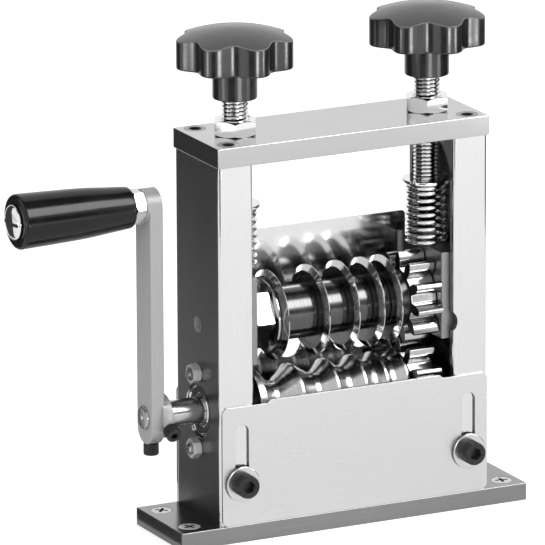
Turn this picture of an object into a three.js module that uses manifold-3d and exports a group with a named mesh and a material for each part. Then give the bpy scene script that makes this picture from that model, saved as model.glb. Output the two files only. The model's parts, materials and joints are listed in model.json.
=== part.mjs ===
// A bench-mounted wire stripper turned by a hand crank: a portal frame on a base plate, a lower drive
// shaft with a grooved feed roller, an upper shaft of five disc blades in sprung sliding blocks, a
// pair of deep-toothed gears between the shafts, and two star knobs that press the blades down.
// Millimetres. X runs to the right along the shafts, Y to the back, Z up. The origin is the middle of
// the base plate's underside.

import * as THREE from "three";
import { mergeVertices } from "three/addons/utils/BufferGeometryUtils.js";
import Module from "manifold-3d";

const wasm = await Module();
wasm.setup();

// Clearances
const runClear = 0.3; // between round faces that turn or pass through each other
const slideClear = 0.4; // between a sliding block and its pocket walls
const faceClear = 0.05; // between the flat faces of pieces stacked on a shaft
const armClear = 0.5; // between the crank arm and the end of the base plate that it swings past
const past = 1; // how far a cutting body reaches beyond the faces that it cuts, or a joined one in
const endChamfer = 1; // on the ends of shafts, pins and the grip's neck

// Sides of a round form, by how large it is
const wideSides = 28;
const roundSides = 20;
const smallSides = 12;
const tinySides = 10;

// Base plate
const baseLength = 171;
const baseDepth = 46;
const baseThickness = 8;
const baseScrewInset = 8; // from the plate's end to a screw's centre
const baseScrewSpacing = 28; // front to back

// Portal frame
const frameWidth = 132; // over the outer faces of the columns
const columnThickness = 16.7;
const columnDepth = 43.5;
const columnHeight = 162;
const columnEdgeRadius = 1.6;
const beamThickness = 9;
const beamOverhang = 0.5;
const beamScrewSpacing = 32.6; // front to back
const beamScrewOutset = 1; // from the middle of the column towards its outer face

// Countersunk screws, in the base plate and in the beam
const flatHeadDiameter = 9.6;
const flatHeadDepth = 2.6;
const flatHeadRim = 0.3;
const flatShankDiameter = 5;
const flatSocketDepth = 1.6;
const crossSocketLength = 5.4;
const crossSocketWidth = 1.1;
const beamSocketAcross = 4;
const beamScrewLength = 20;
const baseScrewLength = 7.4;
const footRecessDiameter = 10;
const footRecessDepth = 5.5;
const footRecessSpacing = 26; // front to back, under each column

// Column pockets
const blockWidth = 35.6;
const pocketDepth = 12.2;
const pocketFloor = 30;
const pocketArchCentre = 150;
const pocketFloorRadius = 6;
const peepHoleDiameter = 7;
const peepHoleHeight = 95;
const notchDiameter = 12;
const notchDepth = 1.9; // how far the notch bites into the column
const notchHeight = 86.7;

// Shafts
const driveAxis = 56;
const bladeAxis = 95;
const shaftDiameter = 12;
const driveShaftInset = 0.6; // of its right end in the column's outer face
const bladeShaftShort = 2; // of each pocket's end wall

// Lower bearings and their flanged housings
const bearingDiameter = 24;
const driveBearingWidth = 6;
const driveBearingRecess = 1; // behind the column's outer face
const bearingRaceWidth = 2.6;
const bearingSealRecess = 0.6;
const housingBossRadius = 15.5;
const housingBossDepth = 3;
const housingFlangeDepth = 3.8;
const housingBoltOffset = 17;
const housingEarRadius = 6;
const housingShoulder = 1.6;
const studDiameter = 5;
const studProud = 1.4; // beyond its nut
const smallNutAcross = 8;
const smallNutHeight = 4;
const nutFlatInset = 0.1; // of a nut's round end faces within its flats
const nutConeShare = 0.7; // of the corner's overhang, the depth of the cone that rounds it off

// Blade stack, each blade named by the plane of its cutting edge
const bladeEdges = [-30.8, -10.8, 4.0, 16.3, 25.2];
const bladeDiameter = 40;
const bladeThickness = 1.8;
const bladeBevelWidth = 4;
const bladeEdgeThickness = 0.25;
const spacerDiameter = 24;
const spacerGrooveDepth = 0.8;
const spacerGrooveWidth = 0.8;
const spacerRimWidth = 1.6;
const bladeWasherDiameter = 32;
const bladeWasherThickness = 1.4;
const bladeNutAcross = 25;
const bladeNutHeight = 10.4;

// Gears
const gearTeeth = 11;
const gearModule = 3.2;
const gearAddendum = 3.2;
const gearDedendum = 4;
const gearPressureAngle = 20;
const gearToothShare = 0.46; // of the pitch that a tooth fills, the rest is gap
const gearFaceStart = 32.6;
const gearFaceWidth = 12.4;
const gearHubDiameter = 24;

// Feed roller
const rollerStart = -43;
const rollerEnd = 31.6;
const rollerDiameter = 30;
const rollerFlangeDiameter = 33;
const rollerFlangeWidth = 3;
const rollerGrooveDepths = [6.5, 5, 4, 3.2, 2.8];
const rollerLandWidth = 1.2;
const rollerGrooveFloor = 2.4;

// Sliding blocks
const blockProud = 4; // of the column's inner face
const blockThickness = 11.8;
const blockBelowAxis = 16.7;
const blockAboveAxis = 22.8;
const blockEdgeRadius = 0.8;
const blockBoreClear = 2; // round the shaft behind the bearing
const bladeBearingWidth = 8;

// Adjusters
const adjusterSpread = 94.4; // from screw to screw
const screwDiameter = 12;
const lockNutAcross = 18;
const lockNutHeight = 7;
const lockNutTurn = 4; // degrees from +X to its first corner
const visibleThread = 9.2;
const knobDiameter = 52;
const knobLobes = 7;
const knobTurn = 12.7; // degrees from +X to the first lobe
const knobLobeDepth = 4.5;
const knobEdgeRadius = 0.6;
const knobFootChamfer = 0.8;
const knobWall = 12.6; // at the tips of the lobes
const knobDome = 5;
const knobStemDiameter = 19.7;
const knobStemHeight = 14.2;
const knobSocketDepth = 20;
const guidePinDiameter = 8;
const guidePinLength = 19;
const discDiameter = 22;
const discThickness = 1.5;
const springDiameter = 19;
const springWire = 1.9;
const springTurns = 9;
const springStepsPerTurn = 8;
const springSides = 5;
const springHeight = 28.7; // from the block to the pressure disc

// Front cover and back guide plate
const sheetThickness = 1.25;
const coverHalfWidth = 65.5;
const coverShoulderTop = 62;
const coverRise = 1.4;
const coverRiseHalfWidth = 42;
const coverCornerRadius = 3;
const slotX = 56;
const slotWidth = 6.6;
const slotTop = 53.7;
const coverTravel = 4.5;
const coverScrewHeight = 27;
const capScrewDiameter = 6;
const capHeadDiameter = 10.4;
const capHeadHeight = 6;
const capSocketAcross = 5;
const capSocketDepth = 3;
const capWasherDiameter = 16;
const capWasherThickness = 1.4;
const capScrewReach = 9; // into the column
const guideTop = 128;
const guideHalfWidth = 47.8;
const guideCornerRadius = 6;
const guideHoleDiameters = [17, 13, 11, 9, 9];
const guideHoleBottom = 67.5;

// Crank
const armThickness = 6.2;
const armWidth = 15;
const armBelowAxis = 12;
const crankThrow = 96;
const hubDiameter = 20;
const hubLength = 3.5;
const shaftEndDiameter = 10.4;
const shaftEndProud = 1.2;
const shaftEndChamfer = 0.6;
const setScrewDiameter = 4;
const setScrewHeadDiameter = 6.8;
const setScrewHeadHeight = 5;
const setScrewReach = 4.2;
const setScrewSocketAcross = 3;
const setScrewSocketDepth = 2.4;
const setScrewTilt = 24; // of the front screw below the horizontal, degrees
const pivotBossDiameter = 15;
const pivotBossHeight = 1.2;
const collarAcross = 14;
const collarLength = 5.2;
const collarTurn = 60; // degrees to its first corner
const spindleDiameter = 8;
const spindleInset = 0.4; // of its end in the arm's inner face
const gripLength = 54.5;
const gripDiameter = 24.4;
const gripNeckDiameter = 18.4;
const gripSwell = [[0.3, 0.2], [0.62, 0.38], [0.72, 0.5], [0.86, 0.72]]; // share of the swell, of the length
const gripEndRadius = 1.6;
const capDiameter = 15.5;
const capThickness = 2.6;
const capDome = [[0, 1], [0.45, 0.94], [0.8, 0.72], [1, 0.4]]; // shares of the radius, of the thickness

// Derived places
const columnOuter = frameWidth / 2;
const columnInner = columnOuter - columnThickness;
const columnBottom = baseThickness;
const columnTop = columnBottom + columnHeight;
const beamTop = columnTop + beamThickness;
const pocketWall = columnInner + pocketDepth;
const pocketWidth = blockWidth + 2 * slideClear;
const blockInner = columnInner - blockProud;
const blockTop = bladeAxis + blockAboveAxis;
const blockBottom = bladeAxis - blockBelowAxis;
const adjusterX = adjusterSpread / 2;
const gearFaceEnd = gearFaceStart + gearFaceWidth;
const frontFace = -columnDepth / 2;
const backFace = columnDepth / 2;
const shaftBore = shaftDiameter + 2 * runClear;
const bearingBore = bearingDiameter + 2 * runClear;
const discBottom = blockTop + springHeight;
const armOuterFace = baseLength / 2 + armClear + armThickness; // to the left of the middle
const handleAxis = driveAxis + crankThrow;

const rad = Math.PI / 180;

// Surface finishes
const finish = (color, metalness, roughness) =>
  new THREE.MeshStandardMaterial({ color, metalness, roughness });
const looks = {
  polishedSteel: () => finish(0xc8c9cb, 1, 0.12),
  brightSteel: () => finish(0xd6d6d8, 1, 0.22),
  chrome: () => finish(0xe2e3e5, 1, 0.08),
  blackSteel: () => finish(0x1d1d1f, 0.6, 0.25),
  blackOxide: () => finish(0x2b2b2d, 0.5, 0.45),
  aluminium: () => finish(0xc6c7c8, 0.8, 0.45),
  blackPlastic: () => finish(0x2a2a2b, 0, 0.3),
};

// Geometry helpers

const points2 = (list) => list.map(([x, y]) => new THREE.Vector2(x, y));

function arc(cx, cy, radius, fromDegrees, toDegrees, steps) {
  return Array.from({ length: steps + 1 }, (_, i) => {
    const angle = (fromDegrees + ((toDegrees - fromDegrees) * i) / steps) * rad;
    return [cx + radius * Math.cos(angle), cy + radius * Math.sin(angle)];
  });
}

function roundedRectangle(x0, x1, y0, y1, radius, steps = 2) {
  return [
    ...arc(x1 - radius, y0 + radius, radius, -90, 0, steps),
    ...arc(x1 - radius, y1 - radius, radius, 0, 90, steps),
    ...arc(x0 + radius, y1 - radius, radius, 90, 180, steps),
    ...arc(x0 + radius, y0 + radius, radius, 180, 270, steps),
  ];
}

function polygon(sides, radius, startDegrees = 0) {
  return arc(0, 0, radius, startDegrees, startDegrees + (360 * (sides - 1)) / sides, sides - 1);
}

const hexagon = (across, startDegrees = 0) =>
  polygon(6, across / 2 / Math.cos(30 * rad), startDegrees);

// One closed mesh with shared vertices and its faces pointing out
function closedMesh(geometry) {
  const bare = new THREE.BufferGeometry();
  bare.setAttribute("position", geometry.getAttribute("position").clone());
  if (geometry.index) bare.setIndex(geometry.index.clone());
  const merged = mergeVertices(bare, 1e-5);
  const position = merged.getAttribute("position");
  const source = merged.index.array;
  const triangles = [];
  let volume = 0;
  const corners = [new THREE.Vector3(), new THREE.Vector3(), new THREE.Vector3()];
  for (let i = 0; i < source.length; i += 3) {
    const [a, b, c] = [source[i], source[i + 1], source[i + 2]];
    if (a === b || b === c || a === c) continue;
    triangles.push(a, b, c);
    [a, b, c].forEach((index, k) => corners[k].fromBufferAttribute(position, index));
    volume += corners[0].dot(corners[1].clone().cross(corners[2]));
  }
  if (volume < 0) triangles.reverse();
  merged.setIndex(triangles);
  return merged;
}

function toSolid(geometry) {
  const mesh = closedMesh(geometry);
  return new wasm.Manifold(
    new wasm.Mesh({
      numProp: 3,
      vertProperties: new Float32Array(mesh.getAttribute("position").array),
      triVerts: new Uint32Array(mesh.index.array),
    }),
  );
}

function toGeometry(solid) {
  const mesh = solid.getMesh();
  const geometry = new THREE.BufferGeometry();
  geometry.setAttribute("position", new THREE.BufferAttribute(mesh.vertProperties.slice(), 3));
  geometry.setIndex(Array.from(mesh.triVerts));
  geometry.computeVertexNormals();
  return geometry;
}

function block(x0, x1, y0, y1, z0, z1) {
  const geometry = new THREE.BoxGeometry(x1 - x0, y1 - y0, z1 - z0);
  return toSolid(geometry.translate((x0 + x1) / 2, (y0 + y1) / 2, (z0 + z1) / 2));
}

// An outline in the plane across an axis, extruded along it. Outlines are given as (Y, Z) along X,
// as (X, Z) along Y and as (X, Y) along Z.
const turnTo = {
  x: new THREE.Matrix4().set(0, 0, 1, 0, 1, 0, 0, 0, 0, 1, 0, 0, 0, 0, 0, 1),
  y: new THREE.Matrix4().set(1, 0, 0, 0, 0, 0, 1, 0, 0, 1, 0, 0, 0, 0, 0, 1),
  z: new THREE.Matrix4(),
};

function prism(axis, outline, from, to) {
  const shape = new THREE.Shape(points2(outline));
  const geometry = new THREE.ExtrudeGeometry(shape, { depth: to - from, bevelEnabled: false });
  return toSolid(geometry.translate(0, 0, from).applyMatrix4(turnTo[axis]));
}

// A profile of (radius, distance along the axis) turned about that axis
function turned(axis, profile, segments) {
  const closed = profile[0][0] < 1e-9 ? profile : [...profile, profile[0]];
  const geometry = new THREE.LatheGeometry(points2(closed), segments);
  if (axis === "x") geometry.rotateZ(-Math.PI / 2);
  if (axis === "z") geometry.rotateX(Math.PI / 2);
  return toSolid(geometry);
}

const rod = (axis, radius, from, to, segments = roundSides) =>
  turned(axis, [[0, from], [radius, from], [radius, to], [0, to]], segments);

const ring = (axis, inner, outer, from, to, segments = roundSides) =>
  turned(axis, [[inner, from], [outer, from], [outer, to], [inner, to]], segments);

const move = (solid, x, y, z) => solid.translate([x, y, z]);

const union = (...solids) => solids.reduce((all, next) => all.add(next));
const without = (solid, ...cuts) => cuts.reduce((left, cut) => left.subtract(cut), solid);

// The same piece on the left side, mirrored in the middle plane
function mirrored(solid) {
  return solid.mirror([1, 0, 0]);
}

const part = new THREE.Group();

function add(name, solid, material) {
  const mesh = new THREE.Mesh(toGeometry(solid), material);
  mesh.name = name;
  part.add(mesh);
}

// Countersunk screw standing on the Z axis with the top of its head at zero
function flatScrew(length, socket) {
  const head = flatHeadDiameter / 2;
  const shank = flatShankDiameter / 2;
  const body = turned(
    "z",
    [
      [0, 0],
      [head, 0],
      [head, -flatHeadRim],
      [shank, -flatHeadDepth],
      [shank, -length],
      [0, -length],
    ],
    smallSides,
  );
  return body.subtract(socket);
}

function crossSocket() {
  const arm = crossSocketLength / 2;
  const slot = crossSocketWidth / 2;
  return union(
    block(-arm, arm, -slot, slot, -flatSocketDepth, past),
    block(-slot, slot, -arm, arm, -flatSocketDepth, past),
  );
}

const hexSocket = (across, depth) => prism("z", hexagon(across), -depth, past);

// The hole that such a screw sits in, through a plate or into a block
function flatScrewHole(length) {
  const head = flatHeadDiameter / 2 + runClear;
  const shank = flatShankDiameter / 2 + runClear;
  return turned(
    "z",
    [
      [0, past],
      [head, past],
      [head, -flatHeadRim - runClear],
      [shank, -flatHeadDepth - runClear],
      [shank, -length],
      [0, -length],
    ],
    smallSides,
  );
}

const baseScrewPlaces = [-1, 1].flatMap((side) =>
  [-1, 1].map((row) => [
    side * (baseLength / 2 - baseScrewInset),
    (row * baseScrewSpacing) / 2,
    baseThickness,
  ]),
);

const beamScrewPlaces = [-1, 1].flatMap((side) =>
  [-1, 1].map((row) => [
    side * (columnOuter - columnThickness / 2 + beamScrewOutset),
    (row * beamScrewSpacing) / 2,
    beamTop,
  ]),
);

const cornerNames = ["front_left", "back_left", "front_right", "back_right"];

function buildBase() {
  const plate = block(
    -baseLength / 2, baseLength / 2, -baseDepth / 2, baseDepth / 2, 0, baseThickness,
  );
  const holes = baseScrewPlaces.map((place) =>
    move(flatScrewHole(baseThickness + past), ...place),
  );
  const recesses = [-1, 1].flatMap((side) =>
    [-1, 1].map((row) =>
      move(
        rod("z", footRecessDiameter / 2, -past, footRecessDepth, smallSides),
        side * (columnOuter - columnThickness / 2),
        (row * footRecessSpacing) / 2,
        0,
      ),
    ),
  );
  add("base_plate", without(plate, ...holes, ...recesses), looks.polishedSteel());
  const screw = flatScrew(baseScrewLength, crossSocket());
  baseScrewPlaces.forEach((place, i) =>
    add(`base_screw_${cornerNames[i]}`, move(screw, ...place), looks.brightSteel()),
  );
}

// The right column: a bar with an arched pocket milled into its inner face
function columnSolid() {
  const bar = prism(
    "z",
    roundedRectangle(columnInner, columnOuter, frontFace, backFace, columnEdgeRadius),
    columnBottom,
    columnTop,
  );
  const half = pocketWidth / 2;
  const pocketOutline = [
    ...arc(-half + pocketFloorRadius, pocketFloor + pocketFloorRadius, pocketFloorRadius, 180, 270, 3),
    ...arc(half - pocketFloorRadius, pocketFloor + pocketFloorRadius, pocketFloorRadius, 270, 360, 3),
    ...arc(0, pocketArchCentre, half, 0, 180, 14),
  ];
  const pocket = prism("x", pocketOutline, columnInner - past, pocketWall);
  const bearingHole = move(
    rod("x", bearingBore / 2, pocketWall - past, columnOuter + past, wideSides), 0, 0, driveAxis,
  );
  const studHoles = [-1, 1].map((way) =>
    move(
      rod("x", studDiameter / 2 + runClear, pocketWall - past, columnOuter + past, tinySides),
      0,
      0,
      driveAxis + way * housingBoltOffset,
    ),
  );
  const peepHole = move(
    rod("x", peepHoleDiameter / 2, pocketWall - past, columnOuter + past, smallSides), 0, 0, peepHoleHeight,
  );
  const coverScrewHole = move(
    rod("y", capScrewDiameter / 2 + runClear, frontFace - past, frontFace + capScrewReach + past, smallSides),
    slotX,
    0,
    coverScrewHeight,
  );
  const beamScrewHoles = beamScrewPlaces
    .filter(([x]) => x > 0)
    .map((place) => move(flatScrewHole(beamScrewLength + past), ...place));
  const screwRelief = move(
    rod("z", screwDiameter / 2 + runClear, pocketArchCentre, columnTop + past), adjusterX, 0, 0,
  );
  return without(
    bar, pocket, bearingHole, ...studHoles, peepHole, coverScrewHole, screwRelief, ...beamScrewHoles,
  );
}

function buildColumns() {
  const column = columnSolid();
  const notchRadius = notchDiameter / 2;
  const notch = move(
    rod("y", notchRadius, frontFace - past, -pocketWidth / 2 + past),
    columnInner + notchDepth - notchRadius,
    0,
    notchHeight,
  );
  add("left_column", mirrored(column), looks.polishedSteel());
  add("right_column", column.subtract(notch), looks.polishedSteel());
}

function buildBeam() {
  const half = columnOuter + beamOverhang;
  const depth = columnDepth / 2 + beamOverhang;
  const bar = block(-half, half, -depth, depth, columnTop, beamTop);
  const screwHoles = [-1, 1].map((side) =>
    move(rod("z", screwDiameter / 2 + runClear, columnTop - past, beamTop + past), side * adjusterX, 0, 0),
  );
  const flatHoles = beamScrewPlaces.map((place) =>
    move(flatScrewHole(beamThickness + past), ...place),
  );
  add("top_beam", without(bar, ...screwHoles, ...flatHoles), looks.brightSteel());
  const screw = flatScrew(beamScrewLength, hexSocket(beamSocketAcross, flatSocketDepth));
  beamScrewPlaces.forEach((place, i) =>
    add(`beam_screw_${cornerNames[i]}`, move(screw, ...place), looks.brightSteel()),
  );
}

// A ball bearing seen as its two races with a recessed seal between them
function bearing(width) {
  const inner = shaftBore / 2;
  const outer = bearingDiameter / 2;
  const sealIn = inner + bearingRaceWidth;
  const sealOut = outer - bearingRaceWidth;
  return turned(
    "x",
    [
      [inner, 0],
      [sealIn, 0],
      [sealIn, bearingSealRecess],
      [sealOut, bearingSealRecess],
      [sealOut, 0],
      [outer, 0],
      [outer, width],
      [inner, width],
    ],
    roundSides,
  );
}

// A two-eared flange housing with a boss round the bearing and two studs through the column
function housingSolid() {
  const flangeOuter = pocketWall - faceClear;
  const flangeInner = flangeOuter - housingFlangeDepth;
  const bossInner = flangeInner - housingBossDepth;
  const tangent = Math.acos((housingBossRadius - housingEarRadius) / housingBoltOffset) / rad;
  const outline = [
    ...arc(0, housingBoltOffset, housingEarRadius, 90 - tangent, 90 + tangent, 5),
    ...arc(0, 0, housingBossRadius, 90 + tangent, 270 - tangent, 5),
    ...arc(0, -housingBoltOffset, housingEarRadius, 270 - tangent, 270 + tangent, 5),
    ...arc(0, 0, housingBossRadius, 270 + tangent, 450 - tangent, 5),
  ];
  const flange = prism("x", outline, flangeInner, flangeOuter);
  const boss = rod("x", housingBossRadius, bossInner, flangeInner + past);
  const seatEnd = columnOuter - driveBearingRecess - driveBearingWidth - runClear;
  const seat = rod("x", bearingBore / 2, seatEnd, flangeOuter + past);
  const bore = rod("x", bearingDiameter / 2 - housingShoulder, bossInner - past, flangeOuter + past);
  const studEnd = columnOuter + smallNutHeight + studProud;
  const studs = [-1, 1].map((way) =>
    move(rod("x", studDiameter / 2, flangeInner + past, studEnd, tinySides), 0, 0, way * housingBoltOffset),
  );
  return move(union(without(union(flange, boss), seat, bore), ...studs), 0, 0, driveAxis);
}

// A hexagon nut along an axis, its corners rounded off by a cone at both ends
function nutSolid(axis, across, height, bore, startDegrees) {
  const corner = across / 2 / Math.cos(30 * rad) + faceClear;
  const chamfer = (corner - across / 2) * nutConeShare;
  const hex = prism(axis, hexagon(across, startDegrees), 0, height);
  const rounding = turned(
    axis,
    [
      [0, 0],
      [across / 2 - nutFlatInset, 0],
      [corner, chamfer],
      [corner, height - chamfer],
      [across / 2 - nutFlatInset, height],
      [0, height],
    ],
    2 * smallSides,
  );
  return hex.intersect(rounding).subtract(rod(axis, bore / 2, -past, height + past, smallSides));
}

function buildDriveBearings() {
  const housing = housingSolid();
  const race = move(bearing(driveBearingWidth), 0, 0, driveAxis);
  const outward = race.mirror([1, 0, 0]);
  const rightRace = move(outward, columnOuter - driveBearingRecess, 0, 0);
  const nut = prism("x", hexagon(smallNutAcross, 90), 0, smallNutHeight).subtract(
    rod("x", studDiameter / 2 + runClear, -past, smallNutHeight + past, tinySides),
  );
  const sides = { left: mirrored, right: (solid) => solid };
  for (const [side, place] of Object.entries(sides)) {
    add(`${side}_bearing_housing`, place(housing), looks.blackOxide());
    add(`${side}_drive_bearing`, place(rightRace), looks.brightSteel());
    for (const [level, way] of [["upper", 1], ["lower", -1]]) {
      const seated = move(nut, columnOuter + faceClear, 0, driveAxis + way * housingBoltOffset);
      add(`${side}_housing_nut_${level}`, place(seated), looks.chrome());
    }
  }
}

function buildDriveShaft() {
  const radius = shaftDiameter / 2;
  const endRadius = shaftEndDiameter / 2;
  const shoulder = -armOuterFace + armThickness;
  const leftEnd = -armOuterFace - shaftEndProud;
  const rightEnd = columnOuter - driveShaftInset;
  add(
    "drive_shaft",
    move(
      turned(
        "x",
        [
          [0, leftEnd],
          [endRadius - shaftEndChamfer, leftEnd],
          [endRadius, leftEnd + shaftEndChamfer],
          [endRadius, shoulder + runClear],
          [radius, shoulder + runClear],
          [radius, rightEnd - endChamfer],
          [radius - endChamfer, rightEnd],
          [0, rightEnd],
        ],
        roundSides,
      ),
      0,
      0,
      driveAxis,
    ),
    looks.chrome(),
  );
}

// The lands between the roller's grooves lie midway between the blades
function rollerProfile() {
  const land = rollerDiameter / 2;
  const flange = rollerFlangeDiameter / 2;
  const bore = shaftBore / 2;
  const flangeEnd = rollerStart + rollerFlangeWidth;
  const lands = bladeEdges.slice(1).map((edge, i) => (edge + bladeEdges[i]) / 2);
  const profile = [[bore, rollerStart], [flange, rollerStart], [flange, flangeEnd], [land, flangeEnd]];
  bladeEdges.forEach((edge, i) => {
    const floor = land - rollerGrooveDepths[i];
    const left = i === 0 ? flangeEnd + rollerLandWidth : lands[i - 1] + rollerLandWidth / 2;
    const right = i === lands.length ? rollerEnd - rollerLandWidth : lands[i] - rollerLandWidth / 2;
    profile.push([land, left], [floor, edge - rollerGrooveFloor / 2]);
    profile.push([floor, edge + rollerGrooveFloor / 2], [land, right]);
  });
  profile.push([land, rollerEnd], [bore, rollerEnd]);
  return profile;
}

// The outline of a spur gear with a tooth pointing straight up
function gearOutline() {
  const pitchRadius = (gearTeeth * gearModule) / 2;
  const baseRadius = pitchRadius * Math.cos(gearPressureAngle * rad);
  const tipRadius = pitchRadius + gearAddendum;
  const rootRadius = pitchRadius - gearDedendum;
  const involute = (radius) => {
    const angle = Math.acos(Math.min(1, baseRadius / radius));
    return Math.tan(angle) - angle;
  };
  const halfAtPitch = (Math.PI / gearTeeth) * gearToothShare;
  const halfAngle = (radius) => halfAtPitch + involute(pitchRadius) - involute(radius);
  const flankRadii = [rootRadius, baseRadius, (baseRadius + tipRadius) / 2, tipRadius];
  const outline = [];
  for (let tooth = 0; tooth < gearTeeth; tooth += 1) {
    const middle = Math.PI / 2 + (tooth * 2 * Math.PI) / gearTeeth;
    const flank = (radius, way) => {
      const angle = middle + way * halfAngle(Math.max(radius, baseRadius));
      return [radius * Math.cos(angle), radius * Math.sin(angle)];
    };
    outline.push(...flankRadii.map((radius) => flank(radius, -1)));
    outline.push(...[...flankRadii].reverse().map((radius) => flank(radius, 1)));
  }
  return outline;
}

function gearSolid(hubStart) {
  const teeth = prism("x", gearOutline(), gearFaceStart, gearFaceEnd);
  const hub = rod("x", gearHubDiameter / 2, hubStart, gearFaceStart + past);
  const bore = rod("x", shaftBore / 2, hubStart - past, gearFaceEnd + past);
  return union(teeth, hub).subtract(bore);
}

function buildDriveRoller() {
  add("feed_roller", move(turned("x", rollerProfile(), wideSides), 0, 0, driveAxis), looks.brightSteel());
  add("drive_gear", move(gearSolid(rollerEnd + faceClear), 0, 0, driveAxis), looks.brightSteel());
}

function bladeSolid(edge) {
  const radius = bladeDiameter / 2;
  const back = edge - bladeThickness;
  return turned(
    "x",
    [
      [shaftBore / 2, back],
      [radius - bladeBevelWidth, back],
      [radius, edge - bladeEdgeThickness],
      [radius, edge],
      [shaftBore / 2, edge],
    ],
    wideSides,
  );
}

// A sleeve with a turned groove beside a narrow rim at its right end
function spacerSolid(from, to) {
  const radius = spacerDiameter / 2;
  const floor = radius - spacerGrooveDepth;
  const grooveEnd = to - spacerRimWidth;
  const grooveStart = grooveEnd - spacerGrooveWidth;
  return turned(
    "x",
    [
      [shaftBore / 2, from],
      [radius, from],
      [radius, grooveStart],
      [floor, grooveStart],
      [floor, grooveEnd],
      [radius, grooveEnd],
      [radius, to],
      [shaftBore / 2, to],
    ],
    roundSides,
  );
}

function buildBlades() {
  const place = (solid) => move(solid, 0, 0, bladeAxis);
  const shaftEnd = pocketWall - bladeShaftShort;
  const radius = shaftDiameter / 2;
  add(
    "blade_shaft",
    place(
      turned(
        "x",
        [
          [0, -shaftEnd],
          [radius - endChamfer, -shaftEnd],
          [radius, -shaftEnd + endChamfer],
          [radius, shaftEnd - endChamfer],
          [radius - endChamfer, shaftEnd],
          [0, shaftEnd],
        ],
        roundSides,
      ),
    ),
    looks.brightSteel(),
  );
  bladeEdges.forEach((edge, i) =>
    add(`blade_${i + 1}`, place(bladeSolid(edge)), looks.chrome()),
  );
  bladeEdges.slice(1).forEach((edge, i) => {
    const from = bladeEdges[i] + faceClear;
    const to = edge - bladeThickness - faceClear;
    add(`blade_spacer_${i + 1}`, place(spacerSolid(from, to)), looks.blackSteel());
  });
  const washerEnd = bladeEdges[0] - bladeThickness - faceClear;
  const washerStart = washerEnd - bladeWasherThickness;
  const washer = ring("x", shaftBore / 2, bladeWasherDiameter / 2, washerStart, washerEnd, wideSides);
  add("blade_washer", place(washer), looks.brightSteel());
  const nutStart = washerStart - faceClear - bladeNutHeight;
  const nut = move(nutSolid("x", bladeNutAcross, bladeNutHeight, shaftBore, 90), nutStart, 0, 0);
  add("blade_nut", place(nut), looks.chrome());
  const hubStart = bladeEdges[bladeEdges.length - 1] + faceClear;
  add("blade_gear", place(gearSolid(hubStart)), looks.brightSteel());
}

function buildBlocks() {
  const outer = blockInner + blockThickness;
  const half = blockWidth / 2;
  const body = prism(
    "z",
    roundedRectangle(blockInner, outer, -half, half, blockEdgeRadius),
    blockBottom,
    blockTop,
  );
  const seatEnd = blockInner + bladeBearingWidth + runClear;
  const seat = rod("x", bearingBore / 2, blockInner - past, seatEnd);
  const bore = rod("x", shaftDiameter / 2 + blockBoreClear, blockInner - past, outer + past);
  const solid = body.subtract(move(union(seat, bore), 0, 0, bladeAxis));
  const raceStart = blockInner + runClear;
  const race = move(
    ring("x", shaftBore / 2, bearingDiameter / 2, raceStart, raceStart + bladeBearingWidth - runClear),
    0,
    0,
    bladeAxis,
  );
  add("left_bearing_block", mirrored(solid), looks.brightSteel());
  add("right_bearing_block", solid, looks.brightSteel());
  add("left_blade_bearing", mirrored(race), looks.brightSteel());
  add("right_blade_bearing", race, looks.brightSteel());
}

// A socket-head cap screw along Y with its head's seat at zero and its face towards -Y
function capScrew(diameter, headDiameter, headHeight, socketAcross, socketDepth, reach, sides) {
  const head = headDiameter / 2;
  const edge = headDiameter * 0.06;
  const body = turned(
    "y",
    [
      [0, -headHeight],
      [head - edge, -headHeight],
      [head, -headHeight + edge],
      [head, 0],
      [diameter / 2, 0],
      [diameter / 2, reach],
      [0, reach],
    ],
    sides,
  );
  const socket = prism("y", hexagon(socketAcross, 30), -headHeight - past, -headHeight + socketDepth);
  return body.subtract(socket);
}

// The cover's outline: the middle of its top edge stands a little higher than its shoulders, and its
// corners are round
function coverOutline() {
  const [half, rise] = [coverHalfWidth, coverRiseHalfWidth];
  const [bottom, shoulder] = [baseThickness, coverShoulderTop];
  const r = coverCornerRadius;
  return [
    ...arc(-half + r, bottom + r, r, 180, 270, 3),
    ...arc(half - r, bottom + r, r, 270, 360, 3),
    ...arc(half - r, shoulder - r, r, 0, 90, 4),
    [rise + coverRise, shoulder],
    [rise, shoulder + coverRise],
    [-rise, shoulder + coverRise],
    [-rise - coverRise, shoulder],
    ...arc(-half + r, shoulder - r, r, 90, 180, 4),
  ];
}

function slotOutline(x) {
  const r = slotWidth / 2;
  const bottomCentre = coverScrewHeight - coverTravel;
  return [
    ...arc(x, bottomCentre, r, 180, 360, 8),
    ...arc(x, slotTop - r, r, 0, 180, 8),
  ];
}

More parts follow.
